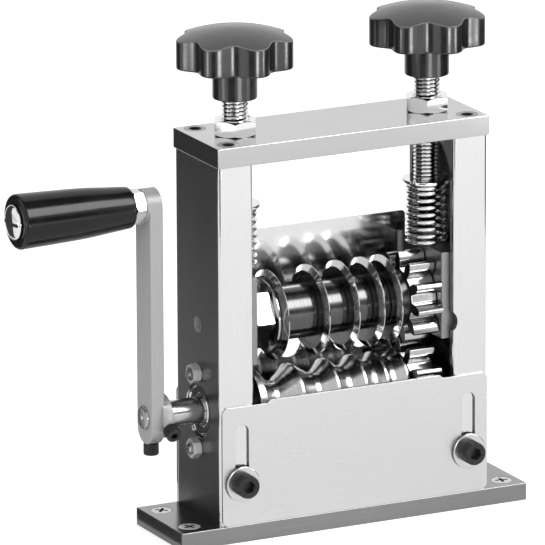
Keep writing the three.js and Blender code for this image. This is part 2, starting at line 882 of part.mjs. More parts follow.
function buildCovers() {
  const coverFront = frontFace - sheetThickness;
  const slots = [-1, 1].map((side) =>
    prism("y", slotOutline(side * slotX), coverFront - past, frontFace + past),
  );
  const cover = prism("y", coverOutline(), coverFront, frontFace);
  add("front_cover", without(cover, ...slots), looks.polishedSteel());

  const screw = union(
    capScrew(
      capScrewDiameter, capHeadDiameter, capHeadHeight, capSocketAcross, capSocketDepth,
      capWasherThickness + sheetThickness + capScrewReach, roundSides,
    ),
    rod("y", capWasherDiameter / 2, -faceClear, capWasherThickness),
  );
  for (const [name, side] of [["left", -1], ["right", 1]]) {
    const seat = coverFront - faceClear - capWasherThickness;
    add(`${name}_cover_screw`, move(screw, side * slotX, seat, coverScrewHeight), looks.blackOxide());
  }

  const r = guideCornerRadius;
  const outline = [
    [-coverHalfWidth, baseThickness],
    [coverHalfWidth, baseThickness],
    ...arc(coverHalfWidth - coverCornerRadius, coverShoulderTop - coverCornerRadius,
      coverCornerRadius, 0, 90, 4),
    [guideHalfWidth, coverShoulderTop],
    ...arc(guideHalfWidth - r, guideTop - r, r, 0, 90, 5),
    ...arc(-guideHalfWidth + r, guideTop - r, r, 90, 180, 5),
    [-guideHalfWidth, coverShoulderTop],
    ...arc(-coverHalfWidth + coverCornerRadius, coverShoulderTop - coverCornerRadius,
      coverCornerRadius, 90, 180, 4),
  ];
  const holes = bladeEdges.map((edge, i) => {
    const radius = guideHoleDiameters[i] / 2;
    const hole = rod("y", radius, backFace - past, backFace + sheetThickness + past, 16);
    return move(hole, edge, 0, guideHoleBottom + radius);
  });
  const plate = prism("y", outline, backFace, backFace + sheetThickness);
  add("guide_plate", without(plate, ...holes), looks.polishedSteel());
}

// The crank arm: a flat bar with round ends, a hub towards the machine and a raised pivot boss
function buildCrank() {
  const outer = -armOuterFace;
  const inner = outer + armThickness;
  const r = armWidth / 2;
  const outline = [
    ...arc(0, driveAxis - armBelowAxis + r, r, 180, 360, 10),
    ...arc(0, handleAxis, r, 0, 180, 10),
  ];
  const bar = prism("x", outline, outer, inner);
  const hub = move(rod("x", hubDiameter / 2, inner - past, inner + hubLength), 0, 0, driveAxis);
  const pivotBoss = move(
    rod("x", pivotBossDiameter / 2, outer - pivotBossHeight, outer + past), 0, 0, handleAxis,
  );
  const endBore = rod("x", shaftEndDiameter / 2 + runClear, outer - past, inner + past, smallSides + 4);
  const hubBore = rod("x", shaftBore / 2, inner - faceClear, inner + hubLength + past, smallSides + 4);
  const spindleHole = move(
    rod("x", spindleDiameter / 2 + runClear, outer - pivotBossHeight - past, inner + past, smallSides),
    0,
    0,
    handleAxis,
  );

  const screw = capScrew(
    setScrewDiameter, setScrewHeadDiameter, setScrewHeadHeight, setScrewSocketAcross,
    setScrewSocketDepth, setScrewReach - runClear, smallSides,
  );
  const hubSeat = hubDiameter / 2;
  const hubMiddle = inner + hubLength / 2;
  const tilted = (solid) => solid.rotate([setScrewTilt, 0, 0]);
  const frontScrew = move(tilted(move(screw, 0, -hubSeat, 0)), hubMiddle, 0, driveAxis);
  const endSeat = driveAxis - armBelowAxis;
  const upright = screw.rotate([90, 0, 0]);
  const endScrew = move(upright, outer + armThickness / 2, 0, endSeat);
  const hole = (reach) => rod("y", setScrewDiameter / 2 + runClear, -past, reach, tinySides);
  const frontHole = move(tilted(move(hole(setScrewReach + past), 0, -hubSeat, 0)), hubMiddle, 0, driveAxis);
  const endHole = move(
    hole(setScrewReach + past).rotate([90, 0, 0]), outer + armThickness / 2, 0, endSeat,
  );
  const arm = without(
    union(bar, hub, pivotBoss),
    move(endBore, 0, 0, driveAxis),
    move(hubBore, 0, 0, driveAxis),
    spindleHole,
    frontHole,
    endHole,
  );
  add("crank_arm", arm, looks.aluminium());
  add("crank_screw_front", frontScrew, looks.blackOxide());
  add("crank_screw_end", endScrew, looks.blackOxide());
}

// The revolving grip on its hexagon-collared spindle, held by an end cap
function buildHandle() {
  const place = (solid) => move(solid, 0, 0, handleAxis);
  const bossFace = -armOuterFace - pivotBossHeight;
  const collarStart = bossFace - faceClear;
  const gripStart = collarStart - collarLength - runClear;
  const gripEnd = gripStart - gripLength;
  const capSeat = gripEnd - runClear;
  const rodRadius = spindleDiameter / 2;

  const collar = move(
    nutSolid("x", collarAcross, collarLength, 1, collarTurn), collarStart - collarLength, 0, 0,
  );
  const spindleEnd = -armOuterFace + armThickness - spindleInset;
  const spindleRod = rod("x", rodRadius, capSeat, spindleEnd, smallSides);
  add("handle_spindle", place(union(collar, spindleRod)), looks.chrome());

  const neck = gripNeckDiameter / 2;
  const full = gripDiameter / 2;
  const bore = rodRadius + runClear;
  const stations = gripSwell.map(([share, along]) => [
    neck + (full - neck) * share, gripStart - along * gripLength,
  ]);
  const endRound = arc(0, 0, gripEndRadius, 0, 90, 3).map(([along, across]) => [
    full - gripEndRadius + across, gripEnd + gripEndRadius - along,
  ]).reverse();
  const grip = turned(
    "x",
    [
      [bore, gripStart],
      [neck - endChamfer, gripStart],
      [neck, gripStart - endChamfer],
      ...stations,
      ...endRound,
      [bore, gripEnd],
    ],
    roundSides,
  );
  add("handle_grip", place(grip), looks.blackPlastic());

  const capRadius = capDiameter / 2;
  const cap = turned(
    "x",
    [
      ...capDome.map(([across, along]) => [across * capRadius, capSeat - along * capThickness]),
      [capRadius, capSeat - faceClear],
      [0, capSeat - faceClear],
    ],
    roundSides,
  );
  add("handle_cap", place(cap), looks.chrome());
}

// A star knob: rings of points between the lobed wall and the round dome, closed at both ends
function knobSolid(bottom) {
  const full = knobDiameter / 2;
  const perLobe = 4;
  const count = knobLobes * perLobe;
  const lobed = (angle) => full - knobLobeDepth * (0.5 - 0.5 * Math.cos(knobLobes * angle)) ** 1.2;
  const crown = (radius) => bottom + knobWall + knobDome * (1 - (radius / full) ** 2);
  // Each ring: height at a radius, share of the full radius, and how much of the lobes it keeps
  const rings = [
    [() => bottom, 1 - knobFootChamfer / full, 1],
    [() => bottom + knobFootChamfer, 1, 1],
    [(radius) => crown(radius) - knobEdgeRadius, 1, 1],
    [crown, 1 - knobEdgeRadius / full, 1],
    [crown, 0.74, 0.8],
    [crown, 0.44, 0.3],
    [crown, 0.16, 0],
  ];
  const vertices = [0, 0, bottom];
  rings.forEach(([height, share, lobing]) => {
    for (let i = 0; i < count; i += 1) {
      const angle = (i * 2 * Math.PI) / count;
      const radius = share * (full + (lobed(angle) - full) * lobing - (1 - lobing) * knobLobeDepth * 0.5);
      const heading = angle + (knobTurn * Math.PI) / 180;
      vertices.push(radius * Math.cos(heading), radius * Math.sin(heading), height(radius));
    }
  });
  vertices.push(0, 0, crown(0));
  const last = vertices.length / 3 - 1;
  const triangles = [];
  for (let i = 0; i < count; i += 1) {
    const next = (i + 1) % count;
    triangles.push(0, 1 + next, 1 + i);
    for (let k = 0; k < rings.length - 1; k += 1) {
      const [low, high] = [1 + k * count, 1 + (k + 1) * count];
      triangles.push(low + i, low + next, high + next, low + i, high + next, high + i);
    }
    const topRing = 1 + (rings.length - 1) * count;
    triangles.push(topRing + i, topRing + next, last);
  }
  const geometry = new THREE.BufferGeometry();
  geometry.setAttribute("position", new THREE.Float32BufferAttribute(vertices, 3));
  geometry.setIndex(triangles);
  return toSolid(geometry);
}

// A compression spring wound upwards round the Z axis, one unbroken wire with straight tangent ends
function springSolid(bottom, top) {
  const wire = springWire / 2;
  const coilRadius = springDiameter / 2 - wire;
  const rise = top - bottom - springWire - 2 * runClear;
  const steps = springTurns * springStepsPerTurn;
  const path = [];
  for (let i = 0; i <= steps; i += 1) {
    const angle = (i / springStepsPerTurn) * 2 * Math.PI;
    const z = bottom + runClear + wire + (rise * i) / steps;
    path.push(new THREE.Vector3(coilRadius * Math.cos(angle), coilRadius * Math.sin(angle), z));
  }
  const endWay = new THREE.Vector3(0, springWire, 0);
  path.unshift(path[0].clone().sub(endWay));
  path.push(path[path.length - 1].clone().add(endWay));

  const rings = path.map((point, i) => {
    const before = path[Math.max(i - 1, 0)];
    const after = path[Math.min(i + 1, path.length - 1)];
    const along = after.clone().sub(before).normalize();
    const side = new THREE.Vector3(0, 0, 1).cross(along).normalize();
    const up = along.clone().cross(side);
    return Array.from({ length: springSides }, (_, k) => {
      const angle = (k / springSides) * 2 * Math.PI + Math.PI / 2;
      return point
        .clone()
        .addScaledVector(side, wire * Math.cos(angle))
        .addScaledVector(up, wire * Math.sin(angle));
    });
  });
  const vertices = [...rings.flat(), path[0], path[path.length - 1]].flatMap((v) => v.toArray());
  const [startPole, endPole] = [rings.length * springSides, rings.length * springSides + 1];
  const triangles = [];
  for (let k = 0; k < springSides; k += 1) {
    const next = (k + 1) % springSides;
    for (let i = 0; i < rings.length - 1; i += 1) {
      const [a, b] = [i * springSides, (i + 1) * springSides];
      triangles.push(a + k, a + next, b + next, a + k, b + next, b + k);
    }
    const end = (rings.length - 1) * springSides;
    triangles.push(startPole, next, k, endPole, end + k, end + next);
  }
  const geometry = new THREE.BufferGeometry();
  geometry.setAttribute("position", new THREE.Float32BufferAttribute(vertices, 3));
  geometry.setIndex(triangles);

  let least = Infinity;
  rings.forEach((from, i) =>
    rings.slice(i + springStepsPerTurn / 2).forEach((to) =>
      from.forEach((p) => to.forEach((q) => { least = Math.min(least, p.distanceTo(q)); })),
    ),
  );
  console.log(`spring: least gap between turns ${least.toFixed(2)} mm`);
  return toSolid(geometry);
}

function buildAdjusters() {
  const nutTop = beamTop + lockNutHeight;
  const stemBottom = nutTop + visibleThread;
  const lobeBottom = stemBottom + knobStemHeight;
  const socketTop = stemBottom + knobSocketDepth;
  const radius = screwDiameter / 2;
  const pin = guidePinDiameter / 2;
  const shoulder = discBottom + discThickness + faceClear;

  const screw = turned(
    "z",
    [
      [0, discBottom - guidePinLength],
      [pin - endChamfer, discBottom - guidePinLength],
      [pin, discBottom - guidePinLength + endChamfer],
      [pin, shoulder],
      [radius, shoulder],
      [radius, socketTop - runClear],
      [0, socketTop - runClear],
    ],
    roundSides,
  );
  const stem = rod("z", knobStemDiameter / 2, stemBottom, lobeBottom + past);
  const socket = rod("z", radius + runClear, stemBottom - past, socketTop);
  const knob = union(knobSolid(lobeBottom), stem).subtract(socket);
  const nut = move(
    nutSolid("z", lockNutAcross, lockNutHeight, screwDiameter + 2 * runClear, lockNutTurn), 0, 0, beamTop,
  );
  const disc = ring("z", pin + runClear, discDiameter / 2, discBottom, discBottom + discThickness);
  const spring = springSolid(blockTop, discBottom);

  for (const [side, x] of [["left", -adjusterX], ["right", adjusterX]]) {
    const place = (solid) => move(solid, x, 0, 0);
    add(`${side}_knob`, place(knob), looks.blackPlastic());
    add(`${side}_adjusting_screw`, place(screw), looks.chrome());
    add(`${side}_lock_nut`, place(nut), looks.chrome());
    add(`${side}_pressure_disc`, place(disc), looks.chrome());
    add(`${side}_spring`, place(spring), looks.chrome());
  }
}

buildBase();
buildColumns();
buildBeam();
buildDriveBearings();
buildDriveShaft();
buildDriveRoller();
buildBlades();
buildBlocks();
buildCovers();
buildCrank();
buildHandle();
buildAdjusters();

export default part;
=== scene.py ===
"""The looks of a hand crank wire stripper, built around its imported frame.

Metres in the frame's axes: X to the right along the shafts, Y to the back, Z up. Sizes below are
written in millimetres, as on the part's own drawing, and scaled by MM.
"""

import json
from contextlib import contextmanager
from math import acos, ceil, cos, degrees, hypot, pi, radians, sin, tan

import bmesh
import bpy
from mathutils import Matrix, Vector


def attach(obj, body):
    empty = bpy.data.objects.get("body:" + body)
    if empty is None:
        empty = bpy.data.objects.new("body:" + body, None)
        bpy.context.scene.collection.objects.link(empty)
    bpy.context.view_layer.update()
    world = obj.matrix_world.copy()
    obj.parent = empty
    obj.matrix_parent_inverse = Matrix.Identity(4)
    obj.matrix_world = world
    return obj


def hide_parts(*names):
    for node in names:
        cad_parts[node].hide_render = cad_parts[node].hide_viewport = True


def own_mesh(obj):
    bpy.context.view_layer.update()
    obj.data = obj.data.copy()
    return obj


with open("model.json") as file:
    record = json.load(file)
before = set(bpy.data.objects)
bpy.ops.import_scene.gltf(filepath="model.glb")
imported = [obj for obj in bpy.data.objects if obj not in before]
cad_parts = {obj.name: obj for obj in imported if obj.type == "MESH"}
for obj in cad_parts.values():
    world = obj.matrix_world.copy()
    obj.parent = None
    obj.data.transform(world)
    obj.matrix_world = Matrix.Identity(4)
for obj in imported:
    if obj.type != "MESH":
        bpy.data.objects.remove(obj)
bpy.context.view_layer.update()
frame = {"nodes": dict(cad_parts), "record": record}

MM = 0.001
scene = bpy.context.scene
nodes = frame["nodes"]

DRIVE_AXIS, BLADE_AXIS = 56, 95  # heights of the two shafts
DRIVE_LINE, BLADE_LINE = (0, DRIVE_AXIS), (0, BLADE_AXIS)  # the same as Y and Z

# The camera: where it looks from, how far away, and how long its lens is
CAMERA_YAW = 26.6
CAMERA_PITCH = 15.2
CAMERA_ROLL = -0.25
CAMERA_DISTANCE = 3740
CAMERA_OFFSET = (-26.6, 106.4)  # to its right and up, so that the crank is in the picture too
CAMERA_FOCAL = 8420 / 545  # of the picture's width
SENSOR_WIDTH = 36
VIEW_END = 50  # metres


def link(name, data):
    piece = bpy.data.objects.new(name, data)
    scene.collection.objects.link(piece)
    return piece


def set_all(thing, settings):
    for key, value in settings.items():
        setattr(thing, key, value)
    return thing


def make_camera():
    yaw, pitch, roll = (radians(a) for a in (CAMERA_YAW, CAMERA_PITCH, CAMERA_ROLL))
    back = Vector((-sin(yaw) * cos(pitch), -cos(yaw) * cos(pitch), sin(pitch)))
    right = Vector((cos(yaw), -sin(yaw), 0))
    up = back.cross(right)
    turned_right = right * cos(roll) + up * sin(roll)
    turned_up = up * cos(roll) - right * sin(roll)
    data = set_all(bpy.data.cameras.new("camera"), {
        "sensor_width": SENSOR_WIDTH, "lens": SENSOR_WIDTH * CAMERA_FOCAL, "clip_end": VIEW_END,
    })
    scene.camera = link("camera", data)
    place = back * CAMERA_DISTANCE + turned_right * CAMERA_OFFSET[0] + turned_up * CAMERA_OFFSET[1]
    turn = Matrix((turned_right, turned_up, back)).transposed()
    scene.camera.matrix_world = Matrix.Translation(place * MM) @ turn.to_4x4()


make_camera()


# Mesh helpers

SAME_POINT, NEAR_POINT = 1e-7, 2e-6  # metres between points that are merged, as made and once cut
ON_AXIS = 1e-6  # a radius in millimetres that counts as none
WEIGHT = 80  # of large faces in weighted normals


@contextmanager
def edited(mesh):
    """A mesh open for edits, which are written back to it."""
    work = bmesh.new()
    work.from_mesh(mesh)
    yield work
    work.to_mesh(mesh)
    work.free()


def solid(name, vertices, faces, sharp=48):
    """A piece from points in millimetres, smooth but for the edges sharper than that many degrees."""
    mesh = bpy.data.meshes.new(name)
    mesh.from_pydata([Vector(v) * MM for v in vertices], [], faces)
    with edited(mesh) as work:
        bmesh.ops.remove_doubles(work, verts=work.verts, dist=SAME_POINT)
        bmesh.ops.recalc_face_normals(work, faces=work.faces)
    shade(mesh, sharp)
    return link(name, mesh)


def shade(mesh, sharp):
    mesh.polygons.foreach_set("use_smooth", [True] * len(mesh.polygons))
    mesh.set_sharp_from_angle(angle=radians(sharp))


def modified(piece, kind, **settings):
    set_all(piece.modifiers.new(kind.lower(), kind), settings)
    return piece


def applied(piece):
    """Bakes a piece's modifiers into its mesh."""
    graph = bpy.context.evaluated_depsgraph_get()
    mesh = bpy.data.meshes.new_from_object(piece.evaluated_get(graph), depsgraph=graph)
    old = piece.data
    piece.modifiers.clear()
    piece.data = mesh
    bpy.data.meshes.remove(old)
    return piece


def cut(piece, *tools, operation="DIFFERENCE"):
    """Cuts tools out of a piece, or joins them to it, and deletes them."""
    for tool in tools:
        modified(piece, "BOOLEAN", object=tool, operation=operation, solver="EXACT")
    applied(piece)
    for tool in tools:
        bpy.data.objects.remove(tool)
    return piece


def bevelled(piece, width, segments=2, angle=50):
    """Rounds a piece's edges by that many millimetres, and keeps its flat faces flat."""
    with edited(piece.data) as work:
        bmesh.ops.remove_doubles(work, verts=work.verts, dist=NEAR_POINT)
        bmesh.ops.dissolve_limit(work, angle_limit=radians(0.5), verts=work.verts, edges=work.edges)
    modified(
        piece, "BEVEL", width=width * MM, segments=segments, limit_method="ANGLE",
        angle_limit=radians(angle), use_clamp_overlap=True, miter_outer="MITER_ARC",
    )
    return flattened(applied(piece), 60)


def flattened(piece, sharp=30):
    """Weights a piece's normals by face, so that its flat faces shade flat next to round edges."""
    shade(piece.data, sharp)
    return modified(piece, "WEIGHTED_NORMAL", keep_sharp=True, weight=WEIGHT)


def polar(radius, angle, centre=(0, 0)):
    """The point at that distance from a centre, at an angle in radians."""
    return centre[0] + radius * cos(angle), centre[1] + radius * sin(angle)


def circle(count):
    """That many angles, evenly round a full turn."""
    return [2 * pi * i / count for i in range(count)]


def arc(cx, cy, radius, start, end, steps):
    return [
        polar(radius, radians(start + (end - start) * i / steps), (cx, cy)) for i in range(steps + 1)
    ]


def rectangle(x0, x1, y0, y1):
    return [(x0, y0), (x1, y0), (x1, y1), (x0, y1)]


def hexagon(across, turn, centre):
    corner = across / 2 / cos(radians(30))
    return [polar(corner, radians(turn + 60 * i), centre) for i in range(6)]


def rounded(outline, radii, steps=4, closed=True):
    """The outline with its corners rounded, each by its own radius or all by the same. Nearly
    straight corners stay, and a round takes no more than half of a side."""
    count = len(outline)
    radii = radii if isinstance(radii, (list, tuple)) else [radii] * count
    result = []
    for i, (point, radius) in enumerate(zip(outline, radii)):
        here = Vector(point)
        before, after = Vector(outline[i - 1]) - here, Vector(outline[(i + 1) % count]) - here
        half = before.angle(after, 0) / 2
        at_end = not closed and i in (0, count - 1)
        if radius <= 0 or at_end or half > radians(88):
            result.append(point)
            continue
        radius = min(radius, min(before.length, after.length) * 0.49 * tan(half))
        before.normalize()
        after.normalize()
        start, end = (here + way * radius / tan(half) for way in (before, after))
        centre = here + (before + after).normalized() * radius / sin(half)
        first = start - centre
        turn = first.angle_signed(end - centre)
        for k in range(steps + 1):
            result.append(tuple(centre + Matrix.Rotation(-turn * k / steps, 2) @ first))
    return result


# How the two numbers across an axis and the one along it become X, Y and Z
PLACE = {
    "x": lambda a, b, along: (along, a, b),
    "y": lambda a, b, along: (a, along, b),
    "z": lambda a, b, along: (a, b, along),
}


def band(count, first=0):
    """The faces between a ring of points and the next ring."""
    return [
        (first + i, first + (i + 1) % count, first + count + (i + 1) % count, first + count + i)
        for i in range(count)
    ]


def prism(name, axis, outline, start, end, share=1, centre=(0, 0)):
    """An outline extruded along an axis: (Y, Z) along X, (X, Z) along Y, (X, Y) along Z. Its far
    end may be drawn in towards a centre, to a share of its size."""
    place, count, (x, y) = PLACE[axis], len(outline), centre
    vertices = [place(a, b, start) for a, b in outline]
    vertices += [place(x + (a - x) * share, y + (b - y) * share, end) for a, b in outline]
    caps = [tuple(range(count)), tuple(range(2 * count - 1, count - 1, -1))]
    return solid(name, vertices, caps + band(count))


def turned(name, axis, profile, centre=(0, 0), segments=96, sharp=48):
    """A closed profile of (radius, along) points turned round a line parallel to an axis."""
    vertices, faces, rings = [], [], []
    for radius, along in profile:
        first = len(vertices)
        points = [centre]
        if radius >= ON_AXIS:
            points = [polar(radius, angle, centre) for angle in circle(segments)]
        rings.append([first + i % len(points) for i in range(segments)])
        vertices += [PLACE[axis](a, b, along) for a, b in points]
    for low, high in zip(rings, rings[1:] + rings[:1]):
        for i in range(segments):
            j = (i + 1) % segments
            face = [low[i], low[j], high[j], high[i]]
            face = [v for n, v in enumerate(face) if v != face[n - 1]]
            if len(face) > 2:
                faces.append(tuple(face))
    return solid(name, vertices, faces, sharp)


def rod(name, axis, radius, start, end, centre=(0, 0), segments=64):
    return turned(name, axis, rectangle(0, radius, start, end), centre, segments)


def joined(name, *pieces):
    """One piece from several that touch or overlap."""
    bpy.context.view_layer.update()
    work = bmesh.new()
    for piece in pieces:
        mesh = piece.to_mesh()
        mesh.transform(piece.matrix_world)
        work.from_mesh(mesh)
    mesh = bpy.data.meshes.new(name)
    work.to_mesh(mesh)
    work.free()
    for piece in pieces:
        bpy.data.objects.remove(piece)
    return link(name, mesh)


# Materials

WHITE = (1, 1, 1, 1)
# Painted shade in the roots of a thread
ROOT_SHADE = (0.02, 0.02, 0.02, 1)
MARK_DEPTH, PEBBLE_DEPTH = 0.01, 0.03
COAT_ROUGHNESS = 0.06


def feed(node, inputs):
    """Gives a node's inputs their values, or links them to the outputs that feed them."""
    for name, value in inputs.items():
        if isinstance(value, bpy.types.NodeSocket):
            node.id_data.links.new(value, node.inputs[name])
        else:
            node.inputs[name].default_value = value
    return node


def output(tree, kind, inputs, name=0, **settings):
    """Adds a node, and returns one of its outputs."""
    return feed(set_all(tree.nodes.new(kind), settings), inputs).outputs[name]


def new_material(name):
    material = bpy.data.materials.new(name)
    material.use_nodes = True
    return material


class Shader:
    """A material under construction: its node tree, and short ways to add nodes to it."""

    def __init__(self, material):
        self.material = material
        self.tree = material.node_tree
        self.surface = self.tree.nodes["Principled BSDF"]
        self.where = self.add("ShaderNodeTexCoord", {}, "Object")

    def add(self, *node, **settings):
        return output(self.tree, *node, **settings)

    def stretched(self, scale):
        """Object coordinates scaled by three numbers, for grain that runs one way."""
        return self.add("ShaderNodeMapping", {"Scale": scale, "Vector": self.where})

    def around(self, axis, centre):
        """Coordinates that repeat round a line: how far along it, and how far from it."""
        across = [0 if a == axis else 1 for a in "xyz"]
        away = self.add("ShaderNodeVectorMath", {0: self.where, 1: Vector(centre) * MM}, operation="SUBTRACT")
        flat = self.add("ShaderNodeVectorMath", {0: away, 1: across}, operation="MULTIPLY")
        length = self.add("ShaderNodeVectorMath", {0: flat}, "Value", operation="LENGTH")
        along = self.add("ShaderNodeSeparateXYZ", {0: away}, "xyz".index(axis))
        return self.add("ShaderNodeCombineXYZ", {0: along, 1: length})

    def noise(self, vector, scale, detail=3, roughness=0.55):
        return self.add("ShaderNodeTexNoise", {
            "Scale": scale, "Detail": detail, "Roughness": roughness, "Vector": vector,
        }, "Fac")

    def spread(self, value, low, high, start=0.3, end=0.7):
        """A value from start to end spread over low to high."""
        return self.add("ShaderNodeMapRange", {
            "From Min": start, "From Max": end, "To Min": low, "To Max": high, "Value": value,
        })

    def tint(self, value, dark, light):
        return self.add("ShaderNodeMix", {"A": dark, "B": light, "Factor": value}, "Result", data_type="RGBA")

    def bump(self, height, strength, distance):
        inputs = {"Strength": strength, "Distance": distance * MM, "Height": height}
        feed(self.surface, {"Normal": self.add("ShaderNodeBump", inputs, "Normal")})


def grey(value):
    return (value, value, value * 1.01, 1)


def metal(name, light, dark, roughness, grain=None, bump=0.2, metallic=1.0):
    """A metal with a clouded tone and roughness, and fine marks that run as grain says: three
    scales for straight brushing, or an axis and a centre for turning marks."""
    shader = Shader(new_material(name))
    cloud = shader.noise(shader.where, 35, detail=4)
    if grain is None:
        marks = shader.noise(shader.where, 700, detail=4)
    elif isinstance(grain[0], str):
        marks = shader.noise(shader.around(*grain), 900, detail=2, roughness=0.7)
    else:
        marks = shader.noise(shader.stretched(grain), 1, roughness=0.65)
    lift = shader.spread(cloud, 0.15, 0.4, 0, 1)
    mixed = shader.add("ShaderNodeMath", {0: marks, 1: 0.45, 2: lift}, operation="MULTIPLY_ADD")
    feed(shader.surface, {
        "Metallic": metallic,
        "Base Color": shader.tint(shader.spread(mixed, 0, 1), grey(dark), grey(light)),
        "Roughness": shader.spread(mixed, roughness * 1.35, roughness * 0.75),
    })
    shader.bump(marks, bump, MARK_DEPTH)
    return shader.material


def thread_metal(name, centre, root, crest):
    """Plated steel with painted shade, darker from a thread's crests to its roots, round an upright line."""
    shader = Shader(metal(name, 0.86, 0.78, 0.09, bump=0.08))
    reach = shader.add("ShaderNodeSeparateXYZ", {0: shader.around("z", centre)}, 1)
    depth = shader.spread(reach, 0, 1, root * MM, crest * MM)
    clouded = shader.surface.inputs["Base Color"].links[0].from_socket
    feed(shader.surface, {"Base Color": shader.tint(depth, ROOT_SHADE, clouded)})
    return shader.material


def black(name, light, dark, roughness, coat=0.0, pebble=180, bump=0.1, shine=0.5):
    """A black moulded or blackened surface, faintly uneven, with a soft sheen."""
    shader = Shader(new_material(name))
    cloud = shader.noise(shader.where, 60, detail=4)
    pebbles = shader.noise(shader.where, pebble)
    feed(shader.surface, {
        "Base Color": shader.tint(shader.spread(cloud, 0, 1), grey(dark), grey(light)),
        "Roughness": shader.spread(pebbles, roughness * 1.3, roughness * 0.8),
        "Coat Weight": coat,
        "Coat Roughness": COAT_ROUGHNESS,
        "Specular IOR Level": shine,
    })
    shader.bump(pebbles, bump, PEBBLE_DEPTH)
    return shader.material


UPRIGHT = (2600, 2600, 45)
LENGTHWISE = (45, 2600, 2600)
ON_BLADES, ON_DRIVE = ("x", (0, *BLADE_LINE)), ("x", (0, *DRIVE_LINE))

polished_upright = metal("polished_upright", 0.80, 0.70, 0.085, UPRIGHT, 0.12)
polished_flat = metal("polished_flat", 0.55, 0.48, 0.11, LENGTHWISE, 0.14)
base_steel = metal("base_steel", 0.30, 0.23, 0.22, LENGTHWISE, 0.16)
mirror_sheet = metal("mirror_sheet", 0.76, 0.70, 0.12, (40, 1800, 1800), 0.05)
satin_sheet = metal("satin_sheet", 0.70, 0.64, 0.24, (40, 2600, 2600), 0.16)
milled = metal("milled_steel", 0.72, 0.58, 0.2)
gear_steel = metal("gear_steel", 0.58, 0.42, 0.12)
zinc = metal("zinc_plate", 0.50, 0.38, 0.24)
plated = metal("plated_steel", 0.86, 0.78, 0.07, bump=0.08)
aluminium = metal("satin_aluminium", 0.36, 0.31, 0.42, (1500, 1500, 90), metallic=0.3)
head_steel = metal("head_steel", 0.72, 0.62, 0.3, metallic=0.6)
# Painted shade: a darker copy of the columns' steel for their outer faces
shaded_column_side = metal("shaded_column_side", 0.19, 0.15, 0.3, UPRIGHT, 0.12)
# Painted shade: a darker steel for the insides of the columns' pockets and the blocks in them
pocket_shade_steel = metal("pocket_shade_steel", 0.30, 0.22, 0.3, UPRIGHT)
# Painted shade: a near-black steel for slot walls, a notch, gear ends and washer rims
painted_shade_steel = metal("painted_shade_steel", 0.11, 0.07, 0.3)
dark_screw = metal("dark_screw", 0.34, 0.24, 0.28)
blade_turned = metal("blade_turned", 0.84, 0.72, 0.1, ON_BLADES, 0.25)
drive_turned = metal("drive_turned", 0.56, 0.44, 0.2, ON_DRIVE, 0.3)
# Painted reflection: a dark tone for the blades' flat faces
blade_face_dark_reflection = metal("blade_face_dark_reflection", 0.20, 0.14, 0.24, ON_BLADES, 0.25)
gloss_black_steel = metal("blackened_steel", 0.13, 0.09, 0.2, ON_BLADES, 0.15)
black_oxide = black("black_oxide", 0.02, 0.012, 0.3, coat=0.05, pebble=900, bump=0.3, shine=0.35)
gloss_plastic = black("gloss_plastic", 0.012, 0.008, 0.18, shine=0.7)
# Painted highlight: a lighter grey for the knobs' rim
knob_rim_highlight = black("knob_rim_highlight", 0.11, 0.08, 0.25)
grip_plastic = black("grip_plastic", 0.008, 0.005, 0.16, shine=0.3)


def dress(piece, material, body, slot, *replaced):
    """Gives a piece its material and the body that it rides on, and hides the nodes it stands for. The slot
    is not used.
    """
    piece.data.materials.clear()
    piece.data.materials.append(material)
    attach(piece, body)
    if replaced:
        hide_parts(*replaced)
    return piece


def tone_faces(piece, material, chosen):
    """Gives a second material to the faces that chosen picks by their centre, in mm, and normal."""
    piece.data.materials.append(material)
    last = len(piece.data.materials) - 1
    for face in piece.data.polygons:
        if chosen(face.center / MM, face.normal):
            face.material_index = last


def paint(node, material):
    """A CAD node that stays gets the finished material in its slots."""
    piece = nodes[node]
    if not piece.material_slots:
        piece.data.materials.append(material)
    for material_slot in piece.material_slots:
        material_slot.material = material


# Light, floor and backdrop, in metres

WORLD_FILL = 0.6
FLOOR_REACH = 6.0
FLOOR_TONE = (0.84, 0.84, 0.84, 1)
FLOOR_GLOW = 0.45  # for the camera
FLOOR_SHEEN = 0.02  # in metal and gloss
LAMP_SIZE = 1.2
# Heights of the cards that only the knobs' stems and walls mirror, and those for the walls alone
STEM_CARD_LOW, WALL_CARD_LOW, CARD_HIGH = 0.055, 0.073, 0.13


def seen_ray(tree, path):
    """1 for camera, glossy and transmission rays, 0 for the rest."""
    result = path.outputs["Is Camera Ray"]
    for name in ("Is Glossy Ray", "Is Transmission Ray"):
        inputs = {0: result, 1: path.outputs[name]}
        result = output(tree, "ShaderNodeMath", inputs, operation="MAXIMUM")
    return result


def make_world():
    world = scene.world = bpy.data.worlds.new("studio")
    world.use_nodes = True
    tree = world.node_tree
    seen = seen_ray(tree, tree.nodes.new("ShaderNodeLightPath"))
    level = output(tree, "ShaderNodeMapRange", {"To Min": WORLD_FILL, "To Max": 1.0, "Value": seen})
    feed(tree.nodes["Background"], {"Color": WHITE, "Strength": level})


def make_sheet(name, corners):
    """A sheet with four corners, and the node tree of its still empty material."""
    mesh = bpy.data.meshes.new(name)
    mesh.from_pydata(corners, [], [(0, 1, 2, 3)])
    material = new_material(name)
    material.node_tree.nodes.clear()
    mesh.materials.append(material)
    return link(name, mesh), material.node_tree


def show(tree, shader):
    """Makes a shader the look of the material that the tree belongs to."""
    feed(tree.nodes.new("ShaderNodeOutputMaterial"), {"Surface": shader})


